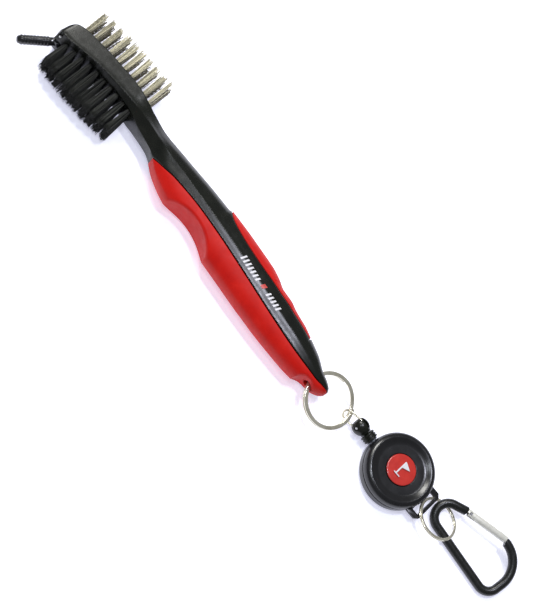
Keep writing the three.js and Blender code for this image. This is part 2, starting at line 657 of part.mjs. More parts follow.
function backShell() {
  const { radius, wall, splitZ, top } = REEL;
  const inside = radius - wall;
  const hub = { radius: 2.6, top: 1.9 };
  const cup = solid(turned([
    [0, 0], [14.2, 0], [15.3, 0.5], [radius, 1.6], [radius, splitZ], [inside, splitZ], [inside, REEL_FLOOR],
    [hub.radius, REEL_FLOOR], [hub.radius, hub.top], [0, hub.top],
  ], 40));
  const boss = solid(box(NOZZLE_BOSS.from, NOZZLE_BOSS.to, -NOZZLE_BOSS.halfWidth, NOZZLE_BOSS.halfWidth,
    REEL_FLOOR, splitZ));
  const window = solid(box(LUG.windowFrom, LUG.windowTo, -LUG.windowHalfWidth, LUG.windowHalfWidth, 0, top));
  const hollow = solid(turned([
    [0, hub.top], [hub.radius, hub.top], [hub.radius, REEL_FLOOR], [inside, REEL_FLOOR], [inside, top],
    [0, top],
  ], 40));
  const axleSocket = solid(rod(new THREE.Vector3(0, 0, AXLE.socketBottom), new THREE.Vector3(0, 0, top),
    AXLE.socketRadius, AXLE.socketRadius, 16));
  const shell = cup.add(lugPlate()).add(boss);
  return subtractAll(shell, [window, hollow, axleSocket, nozzleBore()]);
}

function frontShell() {
  const { radius, splitZ, top, faceZ, faceRadius } = REEL;
  const base = splitZ + GAP;
  const crest = radius - 2.2;
  const profile = [
    [0, faceZ - 1.1], [faceRadius, faceZ - 1.1], [faceRadius + 1.4, base + 1.6], [14.5, base], [radius, base],
    [radius, base + 1.2], [radius - 0.3, base + 2.4], [radius - 0.9, base + 3.2], [crest + 0.6, top - 0.2],
    [crest, top], [crest - 0.6, top - 0.1], [crest - 1.3, top - 0.4], [crest - 2.2, top - 0.85],
    [crest - 3.2, faceZ], [BADGE_RADIUS + GAP, faceZ], [BADGE_RADIUS + GAP, faceZ - 0.45],
    [0, faceZ - 0.45],
  ];
  return solid(turned(profile, 40)).subtract(nozzleBore());
}

function nozzle() {
  const profile = [
    [0.8, -16.8], [2.3, -16.8], [2.6, -16.6], [2.6, -16.4], [1.7, -16.4], [1.7, -14.4], [1.2, -14.1],
    [0.8, -14.4], [0.8, -16.8],
  ];
  return turnedAlongX(profile, 16).translate(0, 0, REEL.cordZ);
}

function spool() {
  const profile = [
    [6.3, 1.9], [12.9, 1.9], [12.9, 2.5], [7.4, 2.5], [7.4, 4.9], [12.9, 4.9], [12.9, 5.4], [1.5, 5.4],
    [1.5, 4.7], [6.3, 4.7], [6.3, 1.9],
  ];
  return turned(profile, 28);
}

// A flat ribbon wound in a spiral between the axle and the inside of the spool's drum.
function mainspring() {
  const { turns, inner, outer, ribbon, bottom, top, slices } = SPRING;
  const rings = [];
  for (let i = 0; i <= slices; i += 1) {
    const along = i / slices;
    const angle = 2 * Math.PI * turns * along;
    const r = inner + (outer - inner) * along;
    const corner = (radius, z) => new THREE.Vector3(radius * Math.cos(angle), radius * Math.sin(angle), z);
    rings.push([corner(r, bottom), corner(r, top), corner(r - ribbon, top), corner(r - ribbon, bottom)]);
  }
  return loft(rings.map((ring) => ring.reverse())).toNonIndexed();
}

function badgeFlag() {
  const outline = [
    [-1.9, -3.4], [1.3, -3.4], [1.3, -2.9], [-0.5, -2.9], [-0.5, 0.5], [2.9, 2.1], [-0.5, 3.7], [-1.1, 3.7],
    [-1.1, -2.9], [-1.9, -2.9],
  ];
  return slab(outline, REEL.faceZ + FLAG.bottom, REEL.faceZ + FLAG.top);
}

function buildReel(parent) {
  const group = new THREE.Group();
  group.position.copy(REEL.centre);
  group.rotation.z = REEL.turn;
  parent.add(group);

  addPart(group, 'reel_back_shell', backShell(), glossBlack);
  addPart(group, 'reel_front_shell', frontShell(), glossBlack);
  addPart(group, 'reel_nozzle', nozzle(), springSteel);
  const badgeProfile = [
    [0, REEL.faceZ - 0.15], [BADGE_RADIUS, REEL.faceZ - 0.15], [BADGE_RADIUS, REEL.faceZ + 0.3],
    [BADGE_RADIUS - 0.3, REEL.faceZ + 0.45], [0, REEL.faceZ + 0.45],
  ];
  addPart(group, 'reel_badge', turned(badgeProfile, 32), badgeRed);
  addPart(group, 'badge_flag', badgeFlag(), whitePlastic);
  const { radius, bottom, top } = AXLE;
  addPart(group, 'spool_axle', turned([[0, bottom], [radius, bottom], [radius, top], [0, top]], 20), steel);
  addPart(group, 'spool', spool(), whitePlastic);
  addPart(group, 'wound_cord', turned([[7.7, 2.8], [12.0, 2.8], [12.0, 4.6], [7.7, 4.6], [7.7, 2.8]], 28),
    cordFabric);
  addPart(group, 'mainspring', mainspring(), springSteel);
}

// ---------------------------------------------------------------- carabiner

// Points of the carabiner's centre line, in its own plane.
function carabinerLine() {
  const arcPoints = ({ u, v, radius, from, to }, steps) => {
    const points = [];
    for (let i = 0; i <= steps; i += 1) {
      const angle = THREE.MathUtils.degToRad(from + ((to - from) * i) / steps);
      points.push(new THREE.Vector3(u + radius * Math.cos(angle), v + radius * Math.sin(angle), 0));
    }
    return points;
  };
  const { smallArc, cornerArc, bigArc, nose } = CARABINER;
  return [
    new THREE.Vector3(nose.u, nose.v, 0),
    ...arcPoints(smallArc, 10),
    ...arcPoints(cornerArc, 6),
    ...arcPoints(bigArc, 8),
  ];
}

// A tube of round section through points, with square ends.
function barThrough(points, radius, sides) {
  const rings = points.map((point, i) => {
    const before = points[Math.max(i - 1, 0)];
    const after = points[Math.min(i + 1, points.length - 1)];
    const forward = new THREE.Vector3().subVectors(after, before).normalize();
    const across = new THREE.Vector3(-forward.y, forward.x, 0);
    const ring = [];
    for (let k = 0; k < sides; k += 1) {
      const angle = (2 * Math.PI * k) / sides;
      const spot = point.clone().addScaledVector(across, radius * Math.cos(angle));
      spot.z += radius * Math.sin(angle);
      ring.push(spot);
    }
    return ring;
  });
  return loft(rings).toNonIndexed();
}

function alongGate(distance, aside = 0) {
  const from = new THREE.Vector3(GATE.from.u, GATE.from.v, 0);
  const to = new THREE.Vector3(GATE.to.u, GATE.to.v, 0);
  const forward = to.sub(from).normalize();
  const across = new THREE.Vector3(-forward.y, forward.x, 0);
  return from.addScaledVector(forward, distance).addScaledVector(across, aside);
}

// A block in the carabiner's plane, along the gate's line.
function gateBlock({ from, to, low, high, half }, start = 0) {
  const a = start + from;
  const b = start + to;
  const outline = [alongGate(a, low), alongGate(b, low), alongGate(b, high), alongGate(a, high)];
  return solid(slab(outline.map((point) => [point.x, point.y]), -half, half));
}

function gateLength() {
  return Math.hypot(GATE.to.u - GATE.from.u, GATE.to.v - GATE.from.v);
}

function buildCarabiner(parent) {
  const group = new THREE.Group();
  group.position.copy(CARABINER.origin);
  group.rotation.set(CARABINER.tilt, 0, CARABINER.turn, 'ZYX');
  parent.add(group);

  const length = gateLength();
  const pinAt = alongGate(GATE.pivotAt);
  const pinSides = 12;
  const pinSolid = (radius) => solid(rod(new THREE.Vector3(pinAt.x, pinAt.y, -DEEP),
    new THREE.Vector3(pinAt.x, pinAt.y, DEEP), radius, radius, pinSides));

  // The bar stops short of the gate; a flat tongue carries on into each end of the gate.
  const bar = solid(barThrough(carabinerLine(), CARABINER.barRadius, 12));
  const gateRoom = {
    from: -GATE_CLEARANCE.hingeEnd, to: length + GATE_CLEARANCE.latchEnd, low: -3, high: 5, half: 4,
  };
  const body = subtractAll(bar, [gateBlock(gateRoom)]).add(gateBlock(HINGE_TONGUE))
    .add(gateBlock(LATCH_TONGUE, length)).subtract(pinSolid(GATE.pinBore));
  addPart(group, 'carabiner_body', body, blackAnodised);

  const tube = solid(rod(alongGate(0), alongGate(length), GATE.radius, GATE.radius, 18));
  const { from, to, radius, boreFrom, boreTo, boreRadius } = PLUNGER;
  const springBore = solid(rod(alongGate(boreFrom), alongGate(boreTo), boreRadius, boreRadius, 12));
  const gate = subtractAll(tube, [
    gateBlock(HINGE_SLOT), gateBlock(LATCH_SLOT, length), gateBlock(HEEL_RELIEF), springBore,
    pinSolid(GATE.pinBore),
  ]);
  addPart(group, 'gate', gate, silverAluminium);
  const pin = new THREE.CylinderGeometry(GATE.pinRadius, GATE.pinRadius, 2 * GATE.pinHalf, pinSides)
    .rotateX(Math.PI / 2);
  addPart(group, 'gate_pin', pin, steel).position.copy(pinAt);
  addPart(group, 'gate_plunger', rod(alongGate(from), alongGate(to), radius, radius, 10), springSteel);
}

// ---------------------------------------------------------------- the whole object

const group = new THREE.Group();
group.position.copy(LAYOUT_CENTRE).negate();

buildBrush(group);
buildPick(group);
buildKeyRing(group);
buildLink(group);
buildCordEnd(group);
buildReel(group);
buildSmallRing(group);
buildCarabiner(group);

export default group;
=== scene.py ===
"""Looks of the club groove brush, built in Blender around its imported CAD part.

Sizes are in millimetres, in the layout frame of the CAD part, until MM turns them into metres in the shared
frame.  The brush runs along X, its nylon side is -Y, its brass side is +Y, and it lies on z = 0.
"""

import math
import random

import bmesh
import bpy
import numpy as np
from mathutils import Matrix, Vector


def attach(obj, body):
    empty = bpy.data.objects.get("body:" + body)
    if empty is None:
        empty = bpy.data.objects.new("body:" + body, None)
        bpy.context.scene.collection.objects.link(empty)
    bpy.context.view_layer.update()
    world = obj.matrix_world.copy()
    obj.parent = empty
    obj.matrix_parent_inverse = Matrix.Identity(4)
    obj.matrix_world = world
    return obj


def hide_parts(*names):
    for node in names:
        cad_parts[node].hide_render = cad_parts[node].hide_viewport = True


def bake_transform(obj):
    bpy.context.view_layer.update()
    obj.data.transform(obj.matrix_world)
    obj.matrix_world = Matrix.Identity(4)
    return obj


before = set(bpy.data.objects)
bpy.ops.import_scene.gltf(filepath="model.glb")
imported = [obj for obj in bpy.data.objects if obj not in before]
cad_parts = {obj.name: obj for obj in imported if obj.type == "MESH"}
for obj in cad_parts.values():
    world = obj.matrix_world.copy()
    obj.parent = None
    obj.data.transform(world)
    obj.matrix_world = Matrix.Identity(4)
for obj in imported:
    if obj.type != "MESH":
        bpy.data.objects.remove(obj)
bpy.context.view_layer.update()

MM = 0.001
LAYOUT_CENTRE = Vector((2.76, 1.21, 0.0))
LAYOUT = Matrix.Translation(-LAYOUT_CENTRE)
GAP = 0.3
THROUGH_BRUSH = 60.0          # half length of a cutter that goes right through the brush
THROUGH_SMALL = 9.0           # half length of a cutter that goes right through a small piece


def turned(degrees, axis):
    return Matrix.Rotation(math.radians(degrees), 4, axis)


# ---- driving dimensions

BODY_MID_Z = 8.3
# x, brass edge y, half height, ridge y, half height, nylon edge y, half height, roundness
BODY_STATIONS = np.array([
    [-139.8, -2.0, 5.6, -3.8, 6.2, -5.2, 3.6, 0.0],
    [-138.9, 0.6, 7.8, -4.6, 8.1, -7.0, 3.8, 0.0],
    [-137.4, 3.1, 8.2, -4.9, 8.3, -6.7, 4.4, 0.0],
    [-133.3, 4.8, 8.3, -4.3, 8.3, -5.3, 5.4, 0.0],
    [-129.0, 5.6, 8.3, -3.2, 8.3, -4.0, 5.9, 0.0],
    [-125.0, 6.1, 8.3, -2.3, 8.3, -2.9, 5.9, 0.0],
    [-120.0, 6.8, 8.3, -1.1, 8.3, -2.0, 5.9, 0.0],
    [-113.0, 7.2, 8.3, -0.1, 8.3, -1.6, 5.9, 0.0],
    [-106.0, 7.7, 8.3, 0.5, 8.3, -1.1, 5.9, 0.0],
    [-100.0, 7.4, 8.3, 0.9, 8.3, -1.2, 5.9, 0.0],
    [-95.0, 6.9, 7.6, 1.1, 8.3, -1.8, 5.7, 0.0],
    [-90.0, 6.8, 5.4, 1.2, 7.9, -2.6, 4.2, 0.0],
    [-80.0, 6.1, 3.8, 0.6, 7.4, -3.9, 3.4, 0.15],
    [-70.0, 6.8, 4.0, -0.2, 7.7, -8.8, 3.6, 0.6],
    [-60.0, 7.5, 4.2, -0.6, 8.0, -11.8, 4.0, 0.85],
    [-50.0, 8.0, 4.4, -1.1, 8.2, -13.2, 4.0, 0.9],
    [-40.0, 8.2, 4.4, -1.7, 8.3, -14.4, 4.0, 0.9],
    [-38.5, 9.1, 4.4, -1.8, 8.3, -14.5, 4.0, 0.9],
    [-30.0, 9.0, 4.4, -2.3, 8.3, -14.8, 4.0, 0.9],
    [-20.0, 8.5, 4.4, -3.1, 8.3, -15.3, 4.0, 0.9],
    [-10.0, 7.8, 4.4, -3.8, 8.3, -15.9, 4.0, 0.9],
    [-5.0, 6.7, 4.4, -4.2, 8.3, -16.1, 4.0, 0.9],
    [0.0, 5.1, 4.4, -4.6, 8.2, -16.2, 4.0, 0.9],
    [5.0, 4.9, 4.4, -5.0, 8.1, -16.4, 4.0, 0.9],
    [10.0, 3.7, 4.2, -5.4, 8.0, -16.4, 4.0, 0.9],
    [17.0, 2.7, 4.0, -5.9, 7.9, -16.2, 4.0, 0.9],
    [22.0, 1.4, 4.0, -6.4, 7.7, -16.1, 3.8, 0.95],
    [30.0, -0.8, 3.6, -7.4, 7.0, -15.4, 3.6, 1.0],
    [36.0, -3.6, 3.0, -8.2, 6.0, -13.9, 3.0, 1.0],
    [40.0, -4.9, 2.6, -8.2, 5.2, -12.1, 2.6, 1.0],
    [42.6, -6.0, 2.0, -8.1, 3.9, -10.6, 2.0, 1.0],
    [43.8, -7.2, 1.0, -8.2, 1.8, -9.3, 1.0, 1.0],
])
BODY_START_X = BODY_STATIONS[0][0]
BODY_END_X = BODY_STATIONS[-1][0]
BODY_ROUND_POWER = 2.3
BODY_STEP = 0.6               # spacing of the sections
FACE_POINTS = 40              # points along each face of a section
STRIP_POINTS = 26             # points from each edge of a strip to its ridge
RIDGE_CREASE = {"height": 0.12, "width": 1.1}  # the soft ridge that stands up out of the rounded stripe
GRIP_LINE = np.array([
    [-84, -5.4], [-71, -5.6], [-63, -5.0], [-51, -4.7], [-35, -5.4], [-19, -6.8], [5, -9.2], [25, -10.4],
    [35, -10.1], [41, -9.0], [46, -7.4],
])
PAD_LINE = np.array([
    [-39.5, 8.6], [-37, 5.9], [-34, 4.5], [-28, 3.2], [-20, 2.2], [-10, 1.5], [0, 1.2], [10, 0.5],
    [18, -0.4], [24, -1.0],
])
PAD_START_X = -38.4
PAD_END_X = 22.0
FINGER_DENT = {"x": -46.0, "y": -31.9, "radius": 23.5}
RING_HOLE = {"x": 36.3, "z": 8.3, "radius": 2.55}
RING_SCOOP = {"x": 35.2, "y": -17.4, "radius": 5.6}
SEAM_FILLET = 0.32
GRIP_FILLET = 1.1
PAD_FILLET = 0.6
GRIP_START_DEPTH = 0.15       # the grip starts where it is this deep
GRIP_SHORT = 0.05             # and stops this far before the core's end

HEAD_TILT = math.radians(5)
TUFT_COLUMNS = 10
TUFT_ROOT_DEPTH = 3.2
# row_shade is painted shade: the rows that lie under the top one are darker, and the top row keeps its full
# colour
NYLON = {
    "side": -1, "first_x": -133.5, "pitch": 4.05, "rows": 4, "row_pitch": 2.9, "hole": 1.15,
    "trim": np.array([[-138, -16.6], [-124, -17.2], [-110, -16.3], [-97, -14.4], [-92, -13.4]]),
    "root": 0.95, "tip": 1.58, "flare_length": 3.0, "filaments": 46, "thickness": 0.165, "ragged": 0.60,
    "lean": 0.16, "splay": 0.10, "crimp": 0.0, "steps": 7, "sides": 5, "row_shade": (0.3, 0.4, 0.6, 1.0),
}
BRASS = {
    "side": 1, "first_x": -134.0, "pitch": 4.34, "rows": 3, "row_pitch": 3.9, "hole": 1.2,
    "trim": np.array([[-139, 17.0], [-123, 20.0], [-110, 21.2], [-92, 21.8]]),
    "root": 0.95, "tip": 1.45, "flare_length": 6.0, "filaments": 28, "thickness": 0.165, "ragged": 0.50,
    "lean": 0.14, "splay": 0.14, "crimp": 0.15, "steps": 26, "sides": 4, "row_shade": (0.16, 0.4, 1.0),
}
TUFT_HOLE_MOUTH = 3.0
CRIMP_PERIOD = 2.1            # millimetres along a wire
FILAMENT_END = (-1.4, 0.55)   # a filament's end, at most this far below and above the trim line
FILAMENT_TAPER = 0.25
FILAMENT_TONES = (0.25, 1.0)
ROOT_SHADE_SHARE = 0.25              # share of its full colour that a filament keeps at its root: painted shade, darker near the root
ROOT_SHADE_END = 2.2           # the painted root shade has faded out at one part in this many of its length
LOW_ROW_SPREAD = 0.2          # how much more the row nearest the floor opens

PICK = {
    "pivot": Vector((-137.7, -5.4, BODY_MID_Z)), "angle": 234.4, "length": 17.1,
    "radius": 2.15, "ribs": 9, "rib_depth": 0.3, "shank": 3.4, "cone": 1.4, "pin": 0.75, "pin_half": 5.4,
    "slot": 2.5, "slot_reach": 12.0, "tip": [(1.5, -0.4), (0.9, 0.0), (0.0, 0.0)],
}
KEY_RING = {
    "centre": Vector((46.98, -7.3, 5.85)), "radius": 11.3, "radial": 1.8, "thickness": 1.0, "pitch": 1.12,
}
KEY_RING_TURN = turned(12.5, "Y") @ turned(100, "Z")
SMALL_RING = {
    "centre": Vector((113.6, -0.7, 4.2)), "radius": 9.1, "radial": 1.2, "thickness": 0.55, "pitch": 0.62,
}
SMALL_RING_TURN = turned(-21.5, "X") @ turned(40, "Z")
SPLIT_RING_WIND = {"step_from": 300.0, "step_to": 360.0, "end": 656.0, "slices": 260}

REEL_CENTRE = Vector((87.7, -2.0, 0.0))
REEL = {
    "radius": 16.0, "wall": 1.2, "split": 5.2, "top": 9.3, "face": 8.2, "face_radius": 11.4, "cord": 4.6,
    "floor": 1.4, "boss": 2.6, "boss_top": 1.9, "crest_inset": 2.2, "plate": 1.1, "recess": 0.45, "turn": 1.8,
}
REEL_PLACE = LAYOUT @ Matrix.Translation(REEL_CENTRE) @ turned(REEL["turn"], "Z")
# the badge's and the flag's heights are above the reel's face
BADGE = {"radius": 6.65, "bottom": -0.15, "edge": 0.3, "top": 0.45}
FLAG = {"bottom": 0.75, "top": 1.0}
LUG = {
    "root": 14.0, "outer": 20.2, "half_width": 8.0, "thickness": 1.45, "mid": 4.1, "corner": 1.6,
    "window": (15.6, 18.7), "window_half": 5.6,
}
NOZZLE_BORE = {"from": -30, "to": -10, "radius": 2.0}
FORK_PIN_REACH = 24.8
CORD_PLACE = REEL_PLACE @ Matrix.Translation((-FORK_PIN_REACH, 0, REEL["cord"]))
FORK_PIN_PLACE = LAYOUT @ Matrix.Translation(CORD_PLACE.translation + LAYOUT_CENTRE)
LINK = {"wire": 0.5, "half_width": 2.55, "left": -8.5, "right": 1.5, "steps": 32}
LINK_YAW = turned(7, "Z")
LINK_DROP = turned(-10.6, "Y")
LINK_ROLL = turned(60, "X")
FORK = {"slot": (-4, 3), "slot_half": 0.85, "bore": 0.9, "pin": 0.6, "pin_half": 3.2}
CORD_LEAD = {"radius": 0.45, "near": 6.9, "far": 11.5, "in_stop": 0.8, "in_nozzle": 0.4, "steps": 60}
# radius and distance along the cord's line, from the fork's pin (for the nozzle, from the reel's axis)
FORK_PROFILE = [
    (0, -2.2), (2.3, -2.2), (3.2, -1.4), (3.75, 0.2), (3.75, 1.6), (3.2, 3.0), (2.5, 3.9), (2.5, 4.3),
    (1.0, 4.3), (1.0, 5.6), (1.8, 5.6), (1.8, 6.4), (0, 6.4),
]
STOP_PROFILE = [
    (1.3, 4.6), (2.7, 4.6), (3.3, 5.0), (3.3, 5.5), (2.9, 5.7), (2.9, 6.0), (3.3, 6.2), (3.3, 6.6),
    (2.9, 6.8), (2.9, 7.0), (3.3, 7.2), (3.3, 7.7), (0.75, 7.7), (0.75, 7.2), (2.2, 7.2), (2.2, 5.25),
    (1.3, 5.25), (1.3, 4.6),
]
NOZZLE_PROFILE = [
    (0.8, -16.8), (2.3, -16.8), (2.6, -16.6), (2.6, -16.4), (1.7, -16.4), (1.7, -14.4), (1.2, -14.1),
    (0.8, -14.4), (0.8, -16.8),
]

CARABINER_PLACE = LAYOUT @ Matrix.Translation((115, -2.0, 2.0)) @ turned(-3.4, "Z") @ turned(13, "X")
CARABINER_NOSE = (3.9, 14.4)
# centre along and across the spine, radius, start and end in degrees
CARABINER_ARCS = [(1.2, 6.1, 6.1, 118, 270), (31, 5.4, 5.4, 270, 360), (24.6, 8.6, 11.8, 0, 97)]
BAR_RADIUS = 2.0
GATE = {"from": Vector((3.8, 14.3)), "to": Vector((22.9, 21.0)), "radius": 1.7, "pivot": 1.6, "bore": 0.75}
GATE_LENGTH = (GATE["to"] - GATE["from"]).length
SPRING_BORE = {"from": 3.9, "to": 9, "radius": 0.95}
# blocks along the gate's line: start and end along it, low and high across it, half thickness
GATE_ROOM = (-0.35, GATE_LENGTH + 0.3, -3, 5, 4)
HINGE_TONGUE = (-2.2, 2.5, -0.9, 0.6, 0.6)
LATCH_TONGUE = (GATE_LENGTH - 1.4, GATE_LENGTH + 2.2, -0.4, 0.8, 0.6)
HINGE_SLOT = (-1, 4.2, -3, 1.15, 0.9)
LATCH_SLOT = (GATE_LENGTH - 2.0, GATE_LENGTH + 1, -0.8, 3, 0.9)
HEEL_RELIEF = (-1, 0.7, -3, -0.4, 4)

# The print: low and high are measured across the stripe from its middle line
INK = {"shift": -0.75, "lift": 0.035, "sink": 0.02, "slant": 0.9, "across": 5, "along": 12}
BARS = {"width": 0.85, "pitch": 1.75, "low": -1.5}
FIRST_BARS = {"count": 7, "x": -21.2, "high": 1.5, "shorter": 0.12}
LAST_BARS = {"count": 5, "x": -3.1, "high": 1.0, "shorter": 0.0}
MARK = {"x": -6.9, "width": 1.9, "low": -1.0, "high": 1.2}

# ---- stage values

# name, place in metres, size, power in watts, colour; all of them aim at the origin
LIGHTS = [
    ("key", (-0.54, 0.30, 0.80), (0.30, 0.30), 5.8, (1.0, 0.99, 0.95)),
    ("overhead", (-0.005, 0.15, 0.90), (0.10, 0.05), 2.6, (0.84, 0.86, 1.0)),
    ("back", (-0.11, 0.42, 0.86), (0.12, 0.03), 0.5, (0.95, 0.97, 1.0)),
    ("front", (-0.17, -0.18, 0.89), (0.16, 0.16), 1.3, (0.88, 0.93, 1.0)),
]
AIR = {"colour": (0.92, 0.94, 1.0, 1), "strength": 0.20}
PAPER = {"reach": 3.0, "blotch": 60, "roughness": 0.9, "glow_colour": (0.80, 0.81, 1.0, 1), "glow": 0.62}
CAMERA = {
    "distance": 0.650, "elevation": 64.0, "roll": 52.0, "sensor": 36.0, "focal_px": 1560.0, "height_px": 609,
}

# ---- mesh helpers


def add_object(name, data):
    obj = bpy.data.objects.new(name, data)
    bpy.context.scene.collection.objects.link(obj)
    return obj


def make_object(name, vertices, faces, place=LAYOUT, sharp=35):
    """A closed mesh from millimetre points, placed in the shared frame, in metres."""
    mesh = bpy.data.meshes.new(name)
    mesh.from_pydata([list(MM * (place @ Vector(v))) for v in vertices], [], faces)
    obj = add_object(name, mesh)
    tidy(obj, sharp)
    return obj


def tidy(obj, sharp=35):
    """Merges doubled points, turns faces outwards, and shades smooth with sharp edges kept."""
    work = bmesh.new()
    work.from_mesh(obj.data)
    bmesh.ops.remove_doubles(work, verts=work.verts, dist=1e-7)
    bmesh.ops.dissolve_degenerate(work, edges=work.edges, dist=1e-8)
    bmesh.ops.recalc_face_normals(work, faces=work.faces)
    work.to_mesh(obj.data)
    work.free()
    obj.data.shade_smooth()
    obj.data.set_sharp_from_angle(angle=math.radians(sharp))


def loft(rings):
    """Faces through rings of the same count, with an n-sided cap on each end."""
    count = len(rings[0])
    faces = []
    for ring in range(len(rings) - 1):
        for i in range(count):
            a = ring * count + i
            b = ring * count + (i + 1) % count
            faces.append((a, b, b + count, a + count))
    last = (len(rings) - 1) * count
    faces.append(tuple(reversed(range(count))))
    faces.append(tuple(range(last, last + count)))
    return [p for ring in rings for p in ring], faces


def bend_corners(profile, radius, steps=4):
    """The same outline with each corner rounded, as a moulding has it."""
    points = [Vector(p) for p in profile]
    out = [points[0]]
    for before, corner, after in zip(points, points[1:], points[2:]):
        back = before - corner
        ahead = after - corner
        reach = min(radius, 0.45 * back.length, 0.45 * ahead.length)
        start = corner + back.normalized() * reach
        end = corner + ahead.normalized() * reach
        for k in range(steps + 1):
            t = k / steps
            out.append(start * (1 - t) ** 2 + corner * (2 * t * (1 - t)) + end * t**2)
    out.append(points[-1])
    return [(p.x, p.y) for p in out]


def full_turn(sides):
    return [2 * math.pi * k / sides for k in range(sides)]


def lathe(name, profile, sides, place, along_x=False):
    """A turned piece from (radius, height) points, closed on its axis or on itself."""
    loop = profile[0] == profile[-1]
    points = profile[:-1] if loop else profile
    vertices = []
    for angle in full_turn(sides):
        for radius, height in points:
            spot = (radius * math.cos(angle), radius * math.sin(angle), height)
            vertices.append((spot[2], spot[1], -spot[0]) if along_x else spot)
    count = len(points)
    faces = []
    for k in range(sides):
        ahead = (k + 1) % sides
        for i in range(count if loop else count - 1):
            j = (i + 1) % count
            faces.append((k * count + i, ahead * count + i, ahead * count + j, k * count + j))
    return make_object(name, vertices, faces, place)


def box_outline(x0, x1, half):
    return [(x0, -half), (x1, -half), (x1, half), (x0, half)]


def prism(name, outline, z0, z1, place=LAYOUT):
    """A plan outline raised from z0 to z1."""
    rings = [[(x, y, z) for x, y in outline] for z in (z0, z1)]
    return make_object(name, *loft(rings), place)


def rod(name, start, end, radius, sides=24, place=LAYOUT):
    ends = [Vector(start), Vector(end)]
    turn = (ends[1] - ends[0]).to_track_quat("Z", "Y").to_matrix()
    spokes = [Vector((radius * math.cos(a), radius * math.sin(a), 0)) for a in full_turn(sides)]
    rings = [[centre + turn @ spoke for spoke in spokes] for centre in ends]
    return make_object(name, *loft(rings), place)


def sweep(name, points, radius, sides, place, closed=False):
    """A round bar through points that lie in one plane."""
    count = len(points)
    up = Vector((0, 0, 1))
    rings = []
    for i, point in enumerate(points):
        before = points[(i - 1) % count] if closed else points[max(i - 1, 0)]
        after = points[(i + 1) % count] if closed else points[min(i + 1, count - 1)]
        forward = (after - before).normalized()
        across = Vector((-forward.y, forward.x, 0))
        rings.append([point + radius * (math.cos(a) * across + math.sin(a) * up) for a in full_turn(sides)])
    if not closed:
        return make_object(name, *loft(rings), place)
    faces = []
    for i in range(count):
        a = i * sides
        b = ((i + 1) % count) * sides
        for k in range(sides):
            ahead = (k + 1) % sides
            faces.append((a + k, a + ahead, b + ahead, b + k))
    return make_object(name, [p for ring in rings for p in ring], faces, place)


def apply_modifiers(obj):
    bpy.context.view_layer.update()
    evaluated = obj.evaluated_get(bpy.context.evaluated_depsgraph_get())
    shape = bpy.data.meshes.new_from_object(evaluated)
    obj.modifiers.clear()
    obj.data = shape


def combine(base, others, operation):
    """Cuts from or joins to base, and removes the other objects."""
    for other in others:
        step = base.modifiers.new("step", "BOOLEAN")
        step.operation = operation
        step.solver = "EXACT"
        step.object = other
        apply_modifiers(base)
        bpy.data.objects.remove(other)


def bevel(obj, width, segments=3, angle=40):
    """Rounds the sharp edges by width millimetres."""
    step = obj.modifiers.new("edges", "BEVEL")
    step.width = width * MM
    step.segments = segments
    step.limit_method = "ANGLE"
    step.angle_limit = math.radians(angle)
    step.use_clamp_overlap = True
    apply_modifiers(obj)
    obj.data.shade_smooth()
    obj.data.set_sharp_from_angle(angle=math.radians(50))


def piece(obj, body, slot, *nodes, look=None):
    """Gives a finished object the material of its slot, hangs it under its body, and hides the CAD nodes it
    stands for.
    """
    obj.data.materials.clear()
    obj.data.materials.append(LOOKS[look or slot])
    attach(obj, body)
    if nodes:
        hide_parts(*nodes)


# ---- materials

NOISE_SPAN = (0.3, 0.7)       # the values that noise mostly takes
GLOSS_BLOTCH = 0.4            # size of the uneven gloss, against that of the colour's blotches
GRAIN_DEPTH = 0.05


def set_inputs(node, values):
    for name, value in values.items():
        node.inputs[name].default_value = value


def new_material(name, metallic=0.0, coat=0.0, sheen=0.0, specular=0.5):
    look = bpy.data.materials.new(name)
    look.use_nodes = True
    shader = look.node_tree.nodes["Principled BSDF"]
    set_inputs(shader, {
        "Metallic": metallic, "Coat Weight": coat, "Coat Roughness": 0.1, "Sheen Weight": sheen,
        "Sheen Roughness": 0.4, "Specular IOR Level": specular,
    })
    return look, look.node_tree, shader


def add_noise(tree, size, stretch=(1, 1, 1)):
    """Noise whose blobs are about size millimetres across, in the object's own coordinates."""
    place = tree.nodes.new("ShaderNodeTexCoord")
    scale = tree.nodes.new("ShaderNodeMapping")
    set_inputs(scale, {"Scale": [s / (size * MM) for s in stretch]})
    noise = tree.nodes.new("ShaderNodeTexNoise")
    set_inputs(noise, {"Scale": 1.0, "Detail": 4.0, "Roughness": 0.55})
    tree.links.new(place.outputs["Object"], scale.inputs["Vector"])
    tree.links.new(scale.outputs["Vector"], noise.inputs["Vector"])
    return noise.outputs["Fac"]


def add_ramp(tree, source, stops):
    """The colour that source picks from stops of (position, colour)."""
    ramp = tree.nodes.new("ShaderNodeValToRGB")
    colours = ramp.color_ramp.elements
    colours[0].position, colours[-1].position = stops[0][0], stops[-1][0]
    colours[0].color, colours[-1].color = (*stops[0][1], 1), (*stops[-1][1], 1)
    for position, colour in stops[1:-1]:
        colours.new(position).color = (*colour, 1)
    tree.links.new(source, ramp.inputs["Fac"])
    return ramp.outputs["Color"]


def add_range(tree, source, low, high):
    """Noise turned into a value from low to high."""
    change = tree.nodes.new("ShaderNodeMapRange")
    set_inputs(change, {"From Min": NOISE_SPAN[0], "From Max": NOISE_SPAN[1], "To Min": low, "To Max": high})
    tree.links.new(source, change.inputs["Value"])
    return change.outputs["Result"]


def add_bump(tree, shader, height, strength, distance):
    bump = tree.nodes.new("ShaderNodeBump")
    set_inputs(bump, {"Strength": strength, "Distance": distance * MM})
    tree.links.new(height, bump.inputs["Height"])
    tree.links.new(bump.outputs["Normal"], shader.inputs["Normal"])


